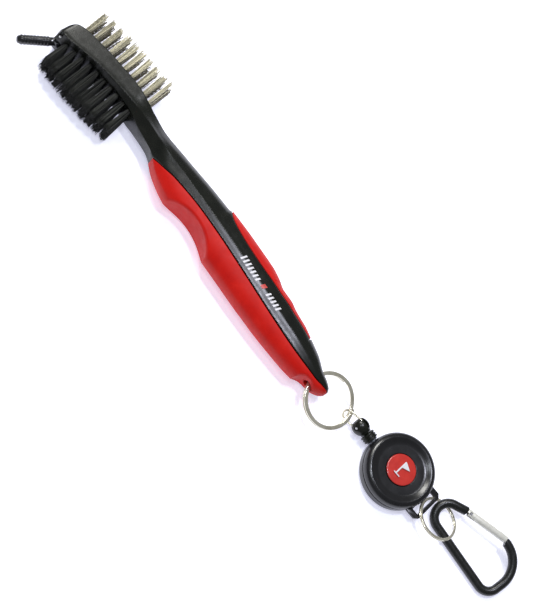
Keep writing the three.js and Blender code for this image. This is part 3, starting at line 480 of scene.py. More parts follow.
def surface(name, stops, blotch, roughness, grain, bump, stretch=(1, 1, 1), **settings):
    """A material with blotches of colour, uneven gloss and a grain that is felt as bump."""
    look, tree, shader = new_material(name, **settings)
    colour = add_ramp(tree, add_noise(tree, blotch), stops)
    tree.links.new(colour, shader.inputs["Base Color"])
    gloss = add_range(tree, add_noise(tree, GLOSS_BLOTCH * blotch), *roughness)
    tree.links.new(gloss, shader.inputs["Roughness"])
    add_bump(tree, shader, add_noise(tree, grain, stretch), bump, GRAIN_DEPTH)
    return look


def filament(name, dark, light, roughness, **settings):
    """Bristle: each filament has a colour value of its own, and painted shade makes every one darker near its
    root and in the rows under the top one.
    """
    look, tree, shader = new_material(name, **settings)
    shaded_tone = tree.nodes.new("ShaderNodeAttribute")
    shaded_tone.attribute_name = "shaded_tone"
    colour = add_ramp(tree, shaded_tone.outputs["Fac"], [(0.0, dark), (1.0, light)])
    tree.links.new(colour, shader.inputs["Base Color"])
    tree.links.new(add_range(tree, add_noise(tree, 0.8), *roughness), shader.inputs["Roughness"])
    add_bump(tree, shader, add_noise(tree, 0.12), strength=0.3, distance=0.02)
    return look


def braided_cord():
    """Round braid: two sets of strands that cross along the cord."""
    look, tree, shader = new_material("braided_cord", sheen=0.2)
    place = tree.nodes.new("ShaderNodeTexCoord")
    heights = []
    for lean in (1, -1):
        turn = tree.nodes.new("ShaderNodeMapping")
        set_inputs(turn, {"Rotation": (0, 0, lean * math.radians(45)), "Scale": (1 / MM, 1 / MM, 1 / MM)})
        wave = tree.nodes.new("ShaderNodeTexWave")
        set_inputs(wave, {"Scale": 1.1})
        tree.links.new(place.outputs["Object"], turn.inputs["Vector"])
        tree.links.new(turn.outputs["Vector"], wave.inputs["Vector"])
        heights.append(wave.outputs["Fac"])
    weave = tree.nodes.new("ShaderNodeMath")
    weave.operation = "MAXIMUM"
    tree.links.new(heights[0], weave.inputs[0])
    tree.links.new(heights[1], weave.inputs[1])
    stops = [(0.0, (0.004, 0.004, 0.004)), (1.0, (0.030, 0.030, 0.031))]
    tree.links.new(add_ramp(tree, weave.outputs[0], stops), shader.inputs["Base Color"])
    tree.links.new(add_range(tree, add_noise(tree, 0.3), 0.6, 0.8), shader.inputs["Roughness"])
    add_bump(tree, shader, weave.outputs[0], strength=0.6, distance=0.08)
    return look


# for each slot: name, colour stops, size of the blotches, roughness from and to, size of the grain, bump
LOOKS = {
    "black_plastic": surface("moulded_black", [
        (0.3, (0.006, 0.007, 0.005)), (0.62, (0.010, 0.011, 0.008)), (0.8, (0.017, 0.018, 0.014)),
    ], 6, (0.22, 0.30), 0.35, 0.01, specular=0.36),
    "gloss_black": surface("gloss_black", [
        (0.3, (0.006, 0.006, 0.007)), (0.75, (0.014, 0.014, 0.015)),
    ], 9, (0.22, 0.28), 0.8, 0.01, (1, 7, 1), specular=0.55),
    "pick_black": surface("pick_black", [
        (0.3, (0.007, 0.007, 0.008)), (0.75, (0.020, 0.020, 0.021)),
    ], 3, (0.14, 0.26), 0.3, 0.12, coat=0.4),
    "red_grip": surface("soft_red", [
        (0.3, (0.53, 0.006, 0.003)), (0.6, (0.61, 0.009, 0.004)), (0.82, (0.68, 0.017, 0.009)),
    ], 8, (0.42, 0.56), 0.16, 0.3, specular=0.2),
    "steel_ring": surface("plated_steel", [
        (0.3, (0.66, 0.62, 0.48)), (0.6, (0.86, 0.83, 0.68)), (0.8, (0.96, 0.94, 0.82)),
    ], 4, (0.14, 0.22), 1.5, 0.003, metallic=0.75),
    "steel_pin": surface("ground_steel", [
        (0.3, (0.42, 0.42, 0.42)), (0.7, (0.66, 0.66, 0.66)),
    ], 0.8, (0.22, 0.36), 0.1, 0.3, metallic=1.0),
    "spring_steel": surface("blued_steel", [
        (0.3, (0.16, 0.17, 0.19)), (0.7, (0.30, 0.31, 0.34)),
    ], 1.2, (0.26, 0.40), 0.2, 0.25, metallic=1.0),
    "black_anodised": surface("black_anodised", [
        (0.3, (0.008, 0.009, 0.008)), (0.66, (0.014, 0.015, 0.014)), (0.85, (0.045, 0.047, 0.045)),
    ], 3.5, (0.24, 0.36), 0.2, 0.15, specular=0.45),
    "silver_gate": surface("satin_aluminium", [
        (0.3, (0.80, 0.79, 0.70)), (0.7, (0.95, 0.94, 0.85)),
    ], 2.5, (0.26, 0.36), 0.3, 0.03, (0.2, 3, 3), metallic=0.3),
    "white_plastic": surface("moulded_white", [
        (0.3, (0.72, 0.71, 0.68)), (0.75, (0.84, 0.83, 0.80)),
    ], 3, (0.40, 0.55), 0.2, 0.2),
    "badge_red": surface("badge_red", [
        (0.3, (0.52, 0.025, 0.018)), (0.75, (0.62, 0.035, 0.024)),
    ], 3, (0.16, 0.26), 0.3, 0.05, coat=0.6),
    "badge_white": surface("white_ink", [
        (0.3, (0.74, 0.73, 0.76)), (0.75, (0.88, 0.87, 0.90)),
    ], 1.0, (0.35, 0.5), 0.1, 0.3),
    "cord": braided_cord(),
    "red_ink": surface("red_ink", [
        (0.3, (0.55, 0.05, 0.04)), (0.75, (0.68, 0.09, 0.07)),
    ], 1.0, (0.35, 0.5), 0.1, 0.3),
    "black_nylon": filament(
        "nylon_filament", (0.002, 0.002, 0.002), (0.024, 0.026, 0.020), (0.42, 0.56), specular=0.35
    ),
    "brass_wire": filament(
        "brass_filament", (0.030, 0.020, 0.008), (1.0, 0.94, 0.68), (0.34, 0.48), metallic=0.2
    ),
}

# ---- brush body


def smooth_rows(rows, x):
    """The values at x of a curve through [x, value...] rows that never overshoots them (monotone cubic)."""
    at = min(max(x, rows[0][0]), rows[-1][0])
    i = int(np.clip(np.searchsorted(rows[:, 0], at) - 1, 0, len(rows) - 2))
    widths = np.diff(rows[:, 0])
    slopes = np.diff(rows[:, 1:], axis=0) / widths[:, None]

    def tangent(row):
        if row in (0, len(rows) - 1):
            return slopes[0 if row == 0 else -1]
        before, after = slopes[row - 1], slopes[row]
        both = before + after
        safe = np.where(np.abs(both) < 1e-12, 1.0, both)
        return np.where(before * after <= 0, 0.0, 2 * before * after / safe)

    t = (at - rows[i][0]) / widths[i]
    return (
        (2 * t**3 - 3 * t**2 + 1) * rows[i][1:] + (t**3 - 2 * t**2 + t) * widths[i] * tangent(i)
        + (3 * t**2 - 2 * t**3) * rows[i + 1][1:] + (t**3 - t**2) * widths[i] * tangent(i + 1)
    )


def half_section(x):
    """The upper half of the body's section at x, as y and height, from the nylon edge to the brass edge."""
    brass_y, brass_h, ridge_y, ridge_h, nylon_y, nylon_h, roundness = smooth_rows(BODY_STATIONS, x)
    corners = [(nylon_y, 0), (nylon_y, nylon_h), (ridge_y, ridge_h), (brass_y, brass_h), (brass_y, 0)]
    y, h = [], []
    for (y0, h0), (y1, h1) in zip(corners, corners[1:]):
        along = np.linspace(0, 1, FACE_POINTS, endpoint=False)
        y.append(y0 + (y1 - y0) * along)
        h.append(h0 + (h1 - h0) * along)
    y, h = np.concatenate(y), np.concatenate(h)
    middle, half = (brass_y + nylon_y) / 2, (brass_y - nylon_y) / 2
    power = BODY_ROUND_POWER
    size = (np.abs((y - middle) / half) ** power + np.abs(h / ridge_h) ** power) ** (1 / power)
    pull = 1 + roundness * (1 / np.maximum(size, 1e-6) - 1)
    y, h = middle + (y - middle) * pull, h * pull
    return np.maximum.accumulate(y + 1e-9 * np.arange(len(y))), h, ridge_y


def ridge_shape(y, ridge_y):
    return np.exp(-(((y - ridge_y) / RIDGE_CREASE["width"]) ** 2))


def strip_ring(x, low, high, fillets, crease):
    """One section of the body between two y values, with its upper and lower edges rounded."""
    y_line, h_line, ridge_y = half_section(x)
    low = max(low, y_line[0] + 1e-4)
    high = max(min(high, y_line[-1] - 1e-4), low + 0.02)
    split = min(max(ridge_y, low + 0.3 * (high - low)), high - 0.3 * (high - low))
    ease = (1 - np.cos(np.linspace(0, math.pi, STRIP_POINTS))) / 2
    y = np.concatenate([low + (split - low) * ease[:-1], split + (high - split) * ease])
    h = np.interp(y, y_line, h_line)
    for edge, radius in zip((low, high), fillets):
        r = min(radius, 0.45 * (high - low), 0.6 * float(np.interp(edge, y, h)))
        if r > 0.01:
            inside = np.clip(r - np.abs(y - edge), 0, r)
            h = h - (r - np.sqrt(np.maximum(r * r - inside * inside, 0)))
    ridge = crease * ridge_shape(y, ridge_y)
    top = [(x, a, BODY_MID_Z + b) for a, b in zip(y, h + ridge)]
    bottom = [(x, a, BODY_MID_Z - b) for a, b in zip(y[::-1], h[::-1])]
    return top + bottom


def strip(name, x0, x1, low, high, fillets, crease=0.0):
    """Part of the body from x0 to x1, between the lines low(x) and high(x)."""
    places = np.linspace(x0, x1, max(int((x1 - x0) / BODY_STEP), 2))
    rings = [strip_ring(x, low(x), high(x), fillets, crease) for x in places]
    return make_object(name, *loft(rings))


def grip_line(x):
    return float(smooth_rows(GRIP_LINE, x)[0])


def pad_line(x):
    return float(smooth_rows(PAD_LINE, x)[0])


def beyond_circle(x, circle):
    """The y that a round cutter, standing along Z, reaches at x."""
    inside = circle["radius"] ** 2 - (x - circle["x"]) ** 2
    return circle["y"] + math.sqrt(inside) if inside > 0 else -math.inf


def grip_low(x):
    return max(beyond_circle(x, FINGER_DENT), beyond_circle(x, RING_SCOOP))


def core_low(x):
    return max(grip_line(x) + GAP, beyond_circle(x, RING_SCOOP)) if x > GRIP_LINE[0][0] else -math.inf


def core_high(x):
    return pad_line(x) - GAP if PAD_START_X - GAP < x < PAD_END_X + GAP else math.inf


def grip_start_x():
    x = GRIP_LINE[0][0]
    while half_section(x)[0][0] >= grip_line(x) - GRIP_START_DEPTH:
        x += 0.1
    return x


def ring_hole_cutter():
    x, z = RING_HOLE["x"], RING_HOLE["z"]
    return rod("cutter", (x, -THROUGH_BRUSH, z), (x, THROUGH_BRUSH, z), RING_HOLE["radius"], 40)


def tuft_places(kind):
    """For each cross row, the face point, outward direction and free length of each tuft."""
    side = kind["side"]
    outward = Vector((-math.sin(HEAD_TILT) * side, math.cos(HEAD_TILT) * side, 0))
    rows = []
    for column in range(TUFT_COLUMNS):
        x = kind["first_x"] + column * kind["pitch"]
        section = smooth_rows(BODY_STATIONS, x)
        face_y = section[0] if side > 0 else section[4]
        length = abs(float(smooth_rows(kind["trim"], x)[0]) - face_y) / math.cos(HEAD_TILT)
        tufts = []
        for row in range(kind["rows"]):
            z = BODY_MID_Z + (row - (kind["rows"] - 1) / 2) * kind["row_pitch"]
            tufts.append((Vector((x, face_y, z)), outward, length))
        rows.append(tufts)
    return rows


def tuft_hole_cutters():
    cutters = []
    for kind in (NYLON, BRASS):
        for tufts in tuft_places(kind):
            for face, outward, _ in tufts:
                bottom = face - outward * (TUFT_ROOT_DEPTH + GAP)
                cutters.append(rod("cutter", bottom, face + outward * TUFT_HOLE_MOUTH, kind["hole"], 16))
    return cutters


def join(objects, name):
    """One object from several that don't touch."""
    vertices, faces = [], []
    for obj in objects:
        start = len(vertices)
        vertices += [tuple(v.co) for v in obj.data.vertices]
        faces += [tuple(start + i for i in p.vertices) for p in obj.data.polygons]
        bpy.data.objects.remove(obj)
    mesh = bpy.data.meshes.new(name)
    mesh.from_pydata(vertices, [], faces)
    return add_object(name, mesh)


def pick_slot_cutter():
    pivot, radius, reach = PICK["pivot"], PICK["slot"], PICK["slot_reach"]
    arc = [math.radians(a) for a in range(0, 91, 6)]
    outline = [(pivot.x + radius * math.cos(a), pivot.y + radius * math.sin(a)) for a in arc]
    outline += [(pivot.x - reach, pivot.y + radius), (pivot.x - reach, pivot.y - reach)]
    outline += [(pivot.x + radius, pivot.y - reach)]
    return prism("cutter", outline, pivot.z - radius, pivot.z + radius)


def build_core():
    fillets = (SEAM_FILLET, SEAM_FILLET)
    core = strip("core", BODY_START_X, BODY_END_X, core_low, core_high, fillets, RIDGE_CREASE["height"])
    x, y, _ = PICK["pivot"]
    pin_hole = rod("cutter", (x, y, -THROUGH_BRUSH), (x, y, THROUGH_BRUSH), PICK["pin"] + GAP / 2)
    tuft_holes = join(tuft_hole_cutters(), "cutter")
    combine(core, [tuft_holes, pick_slot_cutter(), pin_hole, ring_hole_cutter()], "DIFFERENCE")
    tidy(core, sharp=30)
    piece(core, "brush", "black_plastic", "handle_core")


def build_grips():
    fillets = (GRIP_FILLET, SEAM_FILLET)
    grip = strip("grip", grip_start_x(), BODY_END_X - GRIP_SHORT, grip_low, grip_line, fillets)
    combine(grip, [ring_hole_cutter()], "DIFFERENCE")
    tidy(grip, sharp=40)
    piece(grip, "brush", "red_grip", "grip_main")
    pad = strip("pad", PAD_START_X, PAD_END_X, pad_line, lambda x: math.inf, (SEAM_FILLET, PAD_FILLET))
    piece(pad, "brush", "red_grip", "grip_pad")


# ---- bristles


def filament_path(kind, face, outward, length, chance, spread):
    """The centre line of one filament: it leaves its hole, spreads out and then runs nearly straight."""
    along = Vector((outward.y, -outward.x, 0))
    up = Vector((0, 0, 1))
    angle = chance.uniform(0, 2 * math.pi)
    share = math.sqrt(chance.random())
    lean = chance.gauss(0, kind["lean"])
    rough_end = max(min(chance.gauss(0, kind["ragged"]), FILAMENT_END[1]), FILAMENT_END[0])
    wave_start, wave_turn = chance.uniform(0, 2 * math.pi), chance.uniform(0, 2 * math.pi)
    inside = 0.6 * TUFT_ROOT_DEPTH
    points = []
    for step in range(kind["steps"]):
        out = -inside + (length + inside + rough_end) * step / (kind["steps"] - 1)
        free = max(out, 0)
        opened = 1 - math.exp(-free / kind["flare_length"])
        reach = share * (kind["root"] + (kind["tip"] - kind["root"]) * opened)
        far = (free / length) ** 2
        wave = kind["crimp"] * math.sin(wave_start + 2 * math.pi * out / CRIMP_PERIOD) * min(free / 2, 1)
        sideways = reach * math.cos(angle) * (1 + (spread - 1) * far)
        sideways += (lean + kind["splay"] * math.cos(angle)) * far
        points.append(
            face + outward * out + along * (sideways + wave * math.cos(wave_turn))
            + up * (reach * math.sin(angle) + wave * math.sin(wave_turn))
        )
    return points


def add_filament(points, thickness, sides, shaded_tone, vertices, faces, shaded_tones):
    """A thin tapered tube, with painted shade that makes it darker towards its root."""
    start = len(vertices)
    direction = (points[-1] - points[0]).normalized()
    turn = direction.to_track_quat("Z", "Y").to_matrix()
    for i, point in enumerate(points):
        along = i / (len(points) - 1)
        for angle in full_turn(sides):
            spoke = Vector((math.cos(angle), math.sin(angle), 0))
            vertices.append(point + turn @ spoke * thickness * (1 - FILAMENT_TAPER * along))
            # painted shade: the value is darker near the filament's root
            shaded_tones.append(shaded_tone * (ROOT_SHADE_SHARE + (1 - ROOT_SHADE_SHARE) * min(ROOT_SHADE_END * along, 1)))
    for i in range(len(points) - 1):
        for k in range(sides):
            a = start + i * sides
            faces.append((a + k, a + (k + 1) % sides, a + sides + (k + 1) % sides, a + sides + k))
    faces.append(tuple(start + k for k in reversed(range(sides))))
    faces.append(tuple(start + (len(points) - 1) * sides + k for k in range(sides)))


def build_bristles(kind, slot, node, chance):
    for column, tufts in enumerate(tuft_places(kind)):
        vertices, faces, shaded_tones = [], [], []
        for row, (face, outward, length) in enumerate(tufts):
            spread = 1.0 + LOW_ROW_SPREAD * (kind["rows"] - 1 - row) / (kind["rows"] - 1)
            for _ in range(kind["filaments"]):
                path = filament_path(kind, face, outward, length, chance, spread)
                # painted shade: rows under the top one are darker
                shaded_tone = chance.uniform(*FILAMENT_TONES) * kind["row_shade"][row]
                add_filament(path, kind["thickness"], kind["sides"], shaded_tone, vertices, faces, shaded_tones)
        name = f"{node}_{column + 1}"
        mesh = bpy.data.meshes.new(f"{name}_strands")
        mesh.from_pydata([list(MM * (LAYOUT @ v)) for v in vertices], [], faces)
        # each point carries its own colour value, with the painted root shade and row shade in it
        mesh.attributes.new("shaded_tone", "FLOAT", "POINT").data.foreach_set("value", shaded_tones)
        mesh.shade_smooth()
        piece(add_object(f"{name}_strands", mesh), "brush", slot, name)


# ---- pick


def rivet_profile(radius, half):
    return [(0, -half), (radius, -half), (radius, half), (0, half)]


def small_drill(radius, place, x=0, y=0):
    """A cutter along the Z of place, for a pin's hole."""
    return rod("cutter", (x, y, -THROUGH_SMALL), (x, y, THROUGH_SMALL), radius, 24, place)


def build_pick():
    radius, depth, shank = PICK["radius"], PICK["rib_depth"], PICK["shank"]
    place = LAYOUT @ Matrix.Translation(PICK["pivot"]) @ turned(PICK["angle"], "Z")
    pitch = (PICK["length"] - PICK["cone"] - shank) / PICK["ribs"]
    profile = [(0, 0), (radius - depth, 0), (radius - depth, shank)]
    for rib in range(PICK["ribs"]):
        start = shank + rib * pitch
        profile += [(radius, start + 0.3 * pitch), (radius, start + 0.7 * pitch)]
        profile += [(radius - depth, start + pitch)]
    profile += [(r, PICK["length"] + x) for r, x in PICK["tip"]]
    arm = lathe("pick_arm", bend_corners(profile, 0.25), 40, place, along_x=True)
    eye = lathe("eye", bend_corners(rivet_profile(radius, radius), 0.3), 40, place)
    combine(arm, [eye], "UNION")
    combine(arm, [small_drill(PICK["pin"] + GAP, place)], "DIFFERENCE")
    tidy(arm)
    piece(arm, "pick_arm", "pick_black", "pick")
    outline = bend_corners(rivet_profile(PICK["pin"], PICK["pin_half"]), 0.15)
    rivet = lathe("pick_rivet", outline, 28, LAYOUT @ Matrix.Translation(PICK["pivot"]))
    piece(rivet, "brush", "steel_pin", "pick_pin")


# ---- rings, link and cord end


def split_ring(name, ring, turn):
    """Two turns of flat wire with rounded edges, one above the other, with a short step between them."""
    half_r, half_t = ring["radial"] / 2, ring["thickness"] / 2
    corners = [(half_r, -half_t), (half_r, half_t), (-half_r, half_t), (-half_r, -half_t)]
    outline = bend_corners([(0, -half_t), *corners, (0, -half_t)], 0.42 * ring["thickness"], steps=3)[:-1]
    wind = SPLIT_RING_WIND
    rings = []
    for i in range(wind["slices"] + 1):
        degrees = wind["end"] * i / wind["slices"]
        t = min(max((degrees - wind["step_from"]) / (wind["step_to"] - wind["step_from"]), 0), 1)
        rise = ring["pitch"] * t * t * (3 - 2 * t) - ring["pitch"] / 2
        angle = math.radians(degrees)
        rings.append([
            ((ring["radius"] + r) * math.cos(angle), (ring["radius"] + r) * math.sin(angle), z + rise)
            for r, z in outline
        ])
    return make_object(name, *loft(rings), LAYOUT @ Matrix.Translation(ring["centre"]) @ turn, 50)


def build_rings():
    key = split_ring("key_ring_wire", KEY_RING, KEY_RING_TURN)
    piece(key, "key_ring_body", "steel_ring", "key_ring")
    small = split_ring("small_ring_wire", SMALL_RING, SMALL_RING_TURN)
    piece(small, "small_ring_body", "steel_ring", "small_ring")


def build_link():
    half, steps = LINK["half_width"], LINK["steps"]
    points = []
    for centre, start in ((LINK["right"] - half, -90), (LINK["left"] + half, 90)):
        for k in range(steps + 1):
            angle = math.radians(start + 180 * k / steps)
            points.append(Vector((centre + half * math.cos(angle), half * math.sin(angle), 0)))
    place = FORK_PIN_PLACE @ LINK_YAW @ LINK_DROP @ LINK_ROLL
    loop = sweep("link_wire", points, LINK["wire"], 16, place, closed=True)
    piece(loop, "link_body", "steel_ring", "wire_link")


def build_cord_end():
    fork_place = CORD_PLACE @ LINK_ROLL
    fork = lathe("fork", bend_corners(FORK_PROFILE, 0.7), 56, fork_place, along_x=True)
    half = FORK["slot_half"]
    slot = prism("cutter", box_outline(*FORK["slot"], THROUGH_BRUSH), -half, half, fork_place)
    combine(fork, [slot, small_drill(FORK["bore"], fork_place)], "DIFFERENCE")
    tidy(fork, sharp=40)
    piece(fork, "fork_body", "black_plastic", "swivel_fork")
    outline = bend_corners(rivet_profile(FORK["pin"], FORK["pin_half"]), 0.12)
    pin = lathe("fork_rivet", outline, 24, fork_place)
    piece(pin, "fork_body", "steel_pin", "fork_pin")

    stop = lathe("stop_collar", bend_corners(STOP_PROFILE, 0.15), 56, CORD_PLACE, along_x=True)
    piece(stop, "cord_end", "black_plastic", "cord_stop")
    build_cord_lead()


def build_cord_lead():
    """The cord between the stop and the reel, a thin bar along the cord's own line; the real cord runs out
    along this line as it is pulled.
    """
    near, far, steps = CORD_LEAD["near"], CORD_LEAD["far"], CORD_LEAD["steps"]
    spots = [Vector((near + (far - near) * k / steps, 0, 0)) for k in range(steps + 1)]
    lead = sweep("cord_line", spots, CORD_LEAD["radius"], 20, CORD_PLACE)
    lead.data.materials.append(LOOKS["cord"])
    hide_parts("cord_lead")
    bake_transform(lead)


# ---- reel


def nozzle_cutter():
    start, end = ((NOZZLE_BORE[x], 0, REEL["cord"]) for x in ("from", "to"))
    return rod("cutter", start, end, NOZZLE_BORE["radius"], 32, REEL_PLACE)


def build_back_shell():
    radius, split = REEL["radius"], REEL["split"]
    inside = radius - REEL["wall"]
    hub = [(REEL["boss"], REEL["floor"]), (REEL["boss"], REEL["boss_top"]), (0, REEL["boss_top"])]
    outside = [(0, 0), (radius - 1.8, 0), (radius - 0.7, 0.5), (radius, 1.6)]
    profile = outside + [(radius, split), (inside, split), (inside, REEL["floor"])] + hub
    shell = lathe("back_shell", bend_corners(profile, 0.5), 128, REEL_PLACE)
    root, outer, half, corner = LUG["root"], LUG["outer"], LUG["half_width"], LUG["corner"]
    outline = [
        (root, -half), (outer - corner, -half), (outer, -half + corner), (outer, half - corner),
        (outer - corner, half), (root, half),
    ]
    z0, z1 = LUG["mid"] - LUG["thickness"] / 2, LUG["mid"] + LUG["thickness"] / 2
    lug = prism("lug", outline, z0, z1, REEL_PLACE)
    window = prism("cutter", box_outline(*LUG["window"], LUG["window_half"]), 0, THROUGH_SMALL, REEL_PLACE)
    combine(lug, [window], "DIFFERENCE")
    bevel(lug, 0.25)
    combine(shell, [lug], "UNION")
    hollow_profile = hub[::-1] + [(inside, REEL["floor"]), (inside, THROUGH_SMALL), (0, THROUGH_SMALL)]
    hollow = lathe("cutter", hollow_profile, 128, REEL_PLACE)
    combine(shell, [hollow, nozzle_cutter()], "DIFFERENCE")
    tidy(shell, sharp=40)
    piece(shell, "reel", "gloss_black", "reel_back_shell")


def build_front_shell():
    radius, top, face, face_radius = REEL["radius"], REEL["top"], REEL["face"], REEL["face_radius"]
    base = REEL["split"] + GAP
    inner = face - REEL["plate"]
    inside = [(0, inner), (face_radius, inner), (face_radius + 1.4, base + 1.6), (radius - 1.5, base)]
    wall = [(radius, base), (radius, base + 1.2), (radius - 0.3, base + 2.4), (radius - 0.9, base + 3.2)]
    crest = radius - REEL["crest_inset"]
    rim = [
        (crest + 0.6, top - 0.2), (crest, top), (crest - 0.6, top - 0.1), (crest - 1.3, top - 0.4),
        (crest - 2.2, top - 0.85), (crest - 3.2, face),
    ]
    seat, seat_radius = face - REEL["recess"], BADGE["radius"] + GAP
    profile = inside + wall + rim + [(seat_radius, face), (seat_radius, seat), (0, seat)]
    shell = lathe("front_shell", bend_corners(profile, 1.1, steps=6), 160, REEL_PLACE)
    combine(shell, [nozzle_cutter()], "DIFFERENCE")
    tidy(shell, sharp=40)
    piece(shell, "reel", "gloss_black", "reel_front_shell")


def build_badge():
    face, radius = REEL["face"], BADGE["radius"]
    bottom, edge, rise = (face + BADGE[height] for height in ("bottom", "edge", "top"))
    profile = [(0, bottom), (radius, bottom), (radius, edge), (radius - 0.3, rise), (0, rise)]
    disc = lathe("badge_disc", bend_corners(profile, 0.15), 96, REEL_PLACE)
    piece(disc, "reel", "badge_red", "reel_badge")
    pole = [(-1.9, -3.4), (1.3, -3.4), (1.3, -2.9), (-0.5, -2.9), (-0.5, 0.5)]
    cloth = [(2.9, 2.1), (-0.5, 3.7), (-1.1, 3.7), (-1.1, -2.9), (-1.9, -2.9)]
    flag = prism("flag_print", pole + cloth, face + FLAG["bottom"], face + FLAG["top"], REEL_PLACE)
    bevel(flag, 0.06, segments=2)
    piece(flag, "reel", "badge_white", "badge_flag")


def build_nozzle():
    place = REEL_PLACE @ Matrix.Translation((0, 0, REEL["cord"]))
    tube = lathe("nozzle_bush", bend_corners(NOZZLE_PROFILE, 0.12), 48, place, along_x=True)
    piece(tube, "reel", "spring_steel", "reel_nozzle")


# ---- carabiner


def carabiner_line():
    points = [Vector((*CARABINER_NOSE, 0))]
    for u, v, radius, start, end in CARABINER_ARCS:
        steps = max(int((end - start) / 4), 8)
        for k in range(steps + 1):
            angle = math.radians(start + (end - start) * k / steps)
            points.append(Vector((u + radius * math.cos(angle), v + radius * math.sin(angle), 0)))
    return points


def along_gate(distance, aside=0.0):
    forward = (GATE["to"] - GATE["from"]).normalized()
    across = Vector((-forward.y, forward.x))
    return GATE["from"] + forward * distance + across * aside


def gate_block(start, end, low, high, half):
    outline = [along_gate(start, low), along_gate(end, low), along_gate(end, high), along_gate(start, high)]
    return prism("block", [tuple(p) for p in outline], -half, half, CARABINER_PLACE)


def gate_rod(name, start, end, radius, sides):
    return rod(name, (*along_gate(start), 0), (*along_gate(end), 0), radius, sides, CARABINER_PLACE)


def gate_pin_cutter():
    return small_drill(GATE["bore"], CARABINER_PLACE, *along_gate(GATE["pivot"]))


def build_carabiner():
    bar = sweep("bar", carabiner_line(), BAR_RADIUS, 40, CARABINER_PLACE)
    combine(bar, [gate_block(*GATE_ROOM)], "DIFFERENCE")
    bevel(bar, 0.25, angle=50)
    combine(bar, [gate_block(*HINGE_TONGUE), gate_block(*LATCH_TONGUE)], "UNION")
    combine(bar, [gate_pin_cutter()], "DIFFERENCE")
    tidy(bar, sharp=45)
    piece(bar, "carabiner", "black_anodised", "carabiner_body")

    tube = gate_rod("gate_tube", 0, GATE_LENGTH, GATE["radius"], 48)
    bevel(tube, 0.2, angle=50)
    bore = gate_rod("cutter", SPRING_BORE["from"], SPRING_BORE["to"], SPRING_BORE["radius"], 24)
    slots = [gate_block(*block) for block in (HINGE_SLOT, LATCH_SLOT, HEEL_RELIEF)]
    combine(tube, [*slots, bore, gate_pin_cutter()], "DIFFERENCE")
    tidy(tube, sharp=45)
    piece(tube, "gate_body", "silver_gate", "gate")


# ---- print on the handle


def surface_point(x, y):
    """The point of the body's upper surface at x and y."""
    y_line, h_line, ridge_y = half_section(x)
    ridge = RIDGE_CREASE["height"] * float(ridge_shape(y, ridge_y))
    return Vector((x, y, BODY_MID_Z + float(np.interp(y, y_line, h_line)) + ridge))


def slanted_bar(name, x, width, low, high, slot, look=None):
    """A printed bar that follows the handle's surface."""
    across, along = INK["across"], INK["along"]
    sheet = []
    for layer in (INK["lift"], -INK["sink"]):
        for i in range(along + 1):
            for k in range(across + 1):
                share = i / along
                middle = x + INK["slant"] * share
                y = ink_middle(middle) + low + (high - low) * share
                point = surface_point(middle + width * (k / across - 0.5), y)
                sheet.append(point + Vector((0, 0, layer)))
    rows, count = across + 1, (across + 1) * (along + 1)
    faces = []
    for i in range(along):
        for k in range(across):
            a = i * rows + k
            faces.append((a, a + 1, a + 1 + rows, a + rows))
            faces.append((count + a + rows, count + a + 1 + rows, count + a + 1, count + a))
    edge = list(range(rows)) + [i * rows + across for i in range(1, along + 1)]
    edge += [along * rows + k for k in reversed(range(across))]
    edge += [i * rows for i in reversed(range(1, along))]
    for a, b in zip(edge, edge[1:] + edge[:1]):
        faces.append((b, a, count + a, count + b))
    bar = make_object(name, sheet, faces)
    piece(bar, "brush", slot, look=look)


def ink_middle(x):
    """The middle of the black stripe at x, where the print runs."""
    return (grip_line(x) + pad_line(x)) / 2 + INK["shift"]


def build_bars(bars, number):
    for k in range(bars["count"]):
        x = bars["x"] + BARS["pitch"] * k
        high = bars["high"] - bars["shorter"] * k
        slanted_bar(f"print_bar_{number + k}", x, BARS["width"], BARS["low"], high, "badge_white")


def build_print():
    build_bars(FIRST_BARS, 1)
    slanted_bar("print_mark", MARK["x"], MARK["width"], MARK["low"], MARK["high"], "badge_red", "red_ink")
    build_bars(LAST_BARS, FIRST_BARS["count"] + 1)


# ---- floor, lights and camera


def build_floor():
    """White paper that glows a little, so that it stays white where the soft light is weak."""
    mesh = bpy.data.meshes.new("floor")
    reach = PAPER["reach"]
    corners = [(-reach, -reach, 0), (reach, -reach, 0), (reach, reach, 0), (-reach, reach, 0)]
    mesh.from_pydata(corners, [], [(0, 1, 2, 3)])
    floor = add_object("floor", mesh)
    look, tree, shader = new_material("floor_paper", specular=0.1)
    stops = [(0.3, (0.90, 0.90, 0.92)), (0.7, (0.93, 0.93, 0.94))]
    tree.links.new(add_ramp(tree, add_noise(tree, PAPER["blotch"]), stops), shader.inputs["Base Color"])
    set_inputs(shader, {
        "Roughness": PAPER["roughness"],
        "Emission Color": PAPER["glow_colour"],
        "Emission Strength": PAPER["glow"],
    })
    mesh.materials.append(look)


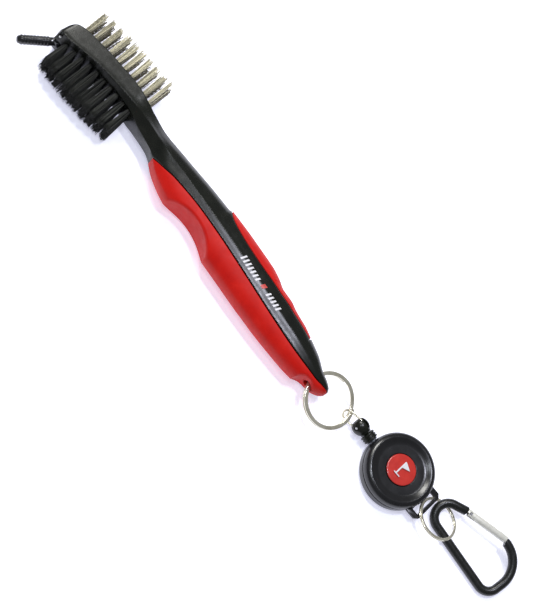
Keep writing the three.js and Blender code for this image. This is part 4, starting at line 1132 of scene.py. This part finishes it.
def add_light(name, place, size, power, colour):
    light = bpy.data.lights.new(name, "AREA")
    light.shape = "RECTANGLE"
    light.size, light.size_y = size
    light.energy = power
    light.color = colour
    lamp = add_object(name, light)
    lamp.location = place
    lamp.rotation_euler = (-Vector(place)).to_track_quat("-Z", "Y").to_euler()


def build_lights():
    """A soft main light, three small ones whose reflections run along the handle and the rim, and dim air."""
    for light in LIGHTS:
        add_light(*light)
    world = bpy.data.worlds.new("studio")
    world.use_nodes = True
    set_inputs(world.node_tree.nodes["Background"], {"Color": AIR["colour"], "Strength": AIR["strength"]})
    bpy.context.scene.world = world
    bpy.context.scene.view_settings.view_transform = "Standard"


def build_camera():
    rise, roll = math.radians(CAMERA["elevation"]), math.radians(CAMERA["roll"])
    back = Vector((0, -math.cos(rise), math.sin(rise)))
    right = Vector((1, 0, 0))
    up = right.cross(-back)
    camera_right = math.cos(roll) * right + math.sin(roll) * up
    camera_up = -math.sin(roll) * right + math.cos(roll) * up
    target = -MM * LAYOUT_CENTRE
    data = bpy.data.cameras.new("camera")
    data.sensor_fit = "VERTICAL"
    data.sensor_height = CAMERA["sensor"]
    data.lens = CAMERA["sensor"] * CAMERA["focal_px"] / CAMERA["height_px"]
    data.clip_start = 0.01
    camera = add_object("camera", data)
    place = target + back * CAMERA["distance"]
    turn = Matrix((camera_right, camera_up, back)).transposed().to_4x4()
    camera.matrix_world = Matrix.Translation(place) @ turn
    bpy.context.scene.camera = camera


# ---- the whole object

CARRIED_NODES = {
    "spool_axle": "steel_pin", "spool": "white_plastic", "wound_cord": "cord", "mainspring": "spring_steel",
    "gate_pin": "steel_pin", "gate_plunger": "spring_steel",
}


def finish_carried_nodes():
    """The CAD nodes that are shown as they are get a detailed material."""
    for node, slot in CARRIED_NODES.items():
        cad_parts[node].data.materials.clear()
        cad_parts[node].data.materials.append(LOOKS[slot])


build_camera()
build_floor()
build_lights()
build_core()
build_grips()
build_bristles(NYLON, "black_nylon", "nylon_tufts", random.Random(11))
build_bristles(BRASS, "brass_wire", "brass_tufts", random.Random(23))
build_pick()
build_rings()
build_link()
build_cord_end()
build_back_shell()
build_front_shell()
build_badge()
build_nozzle()
build_carabiner()
build_print()
finish_carried_nodes()
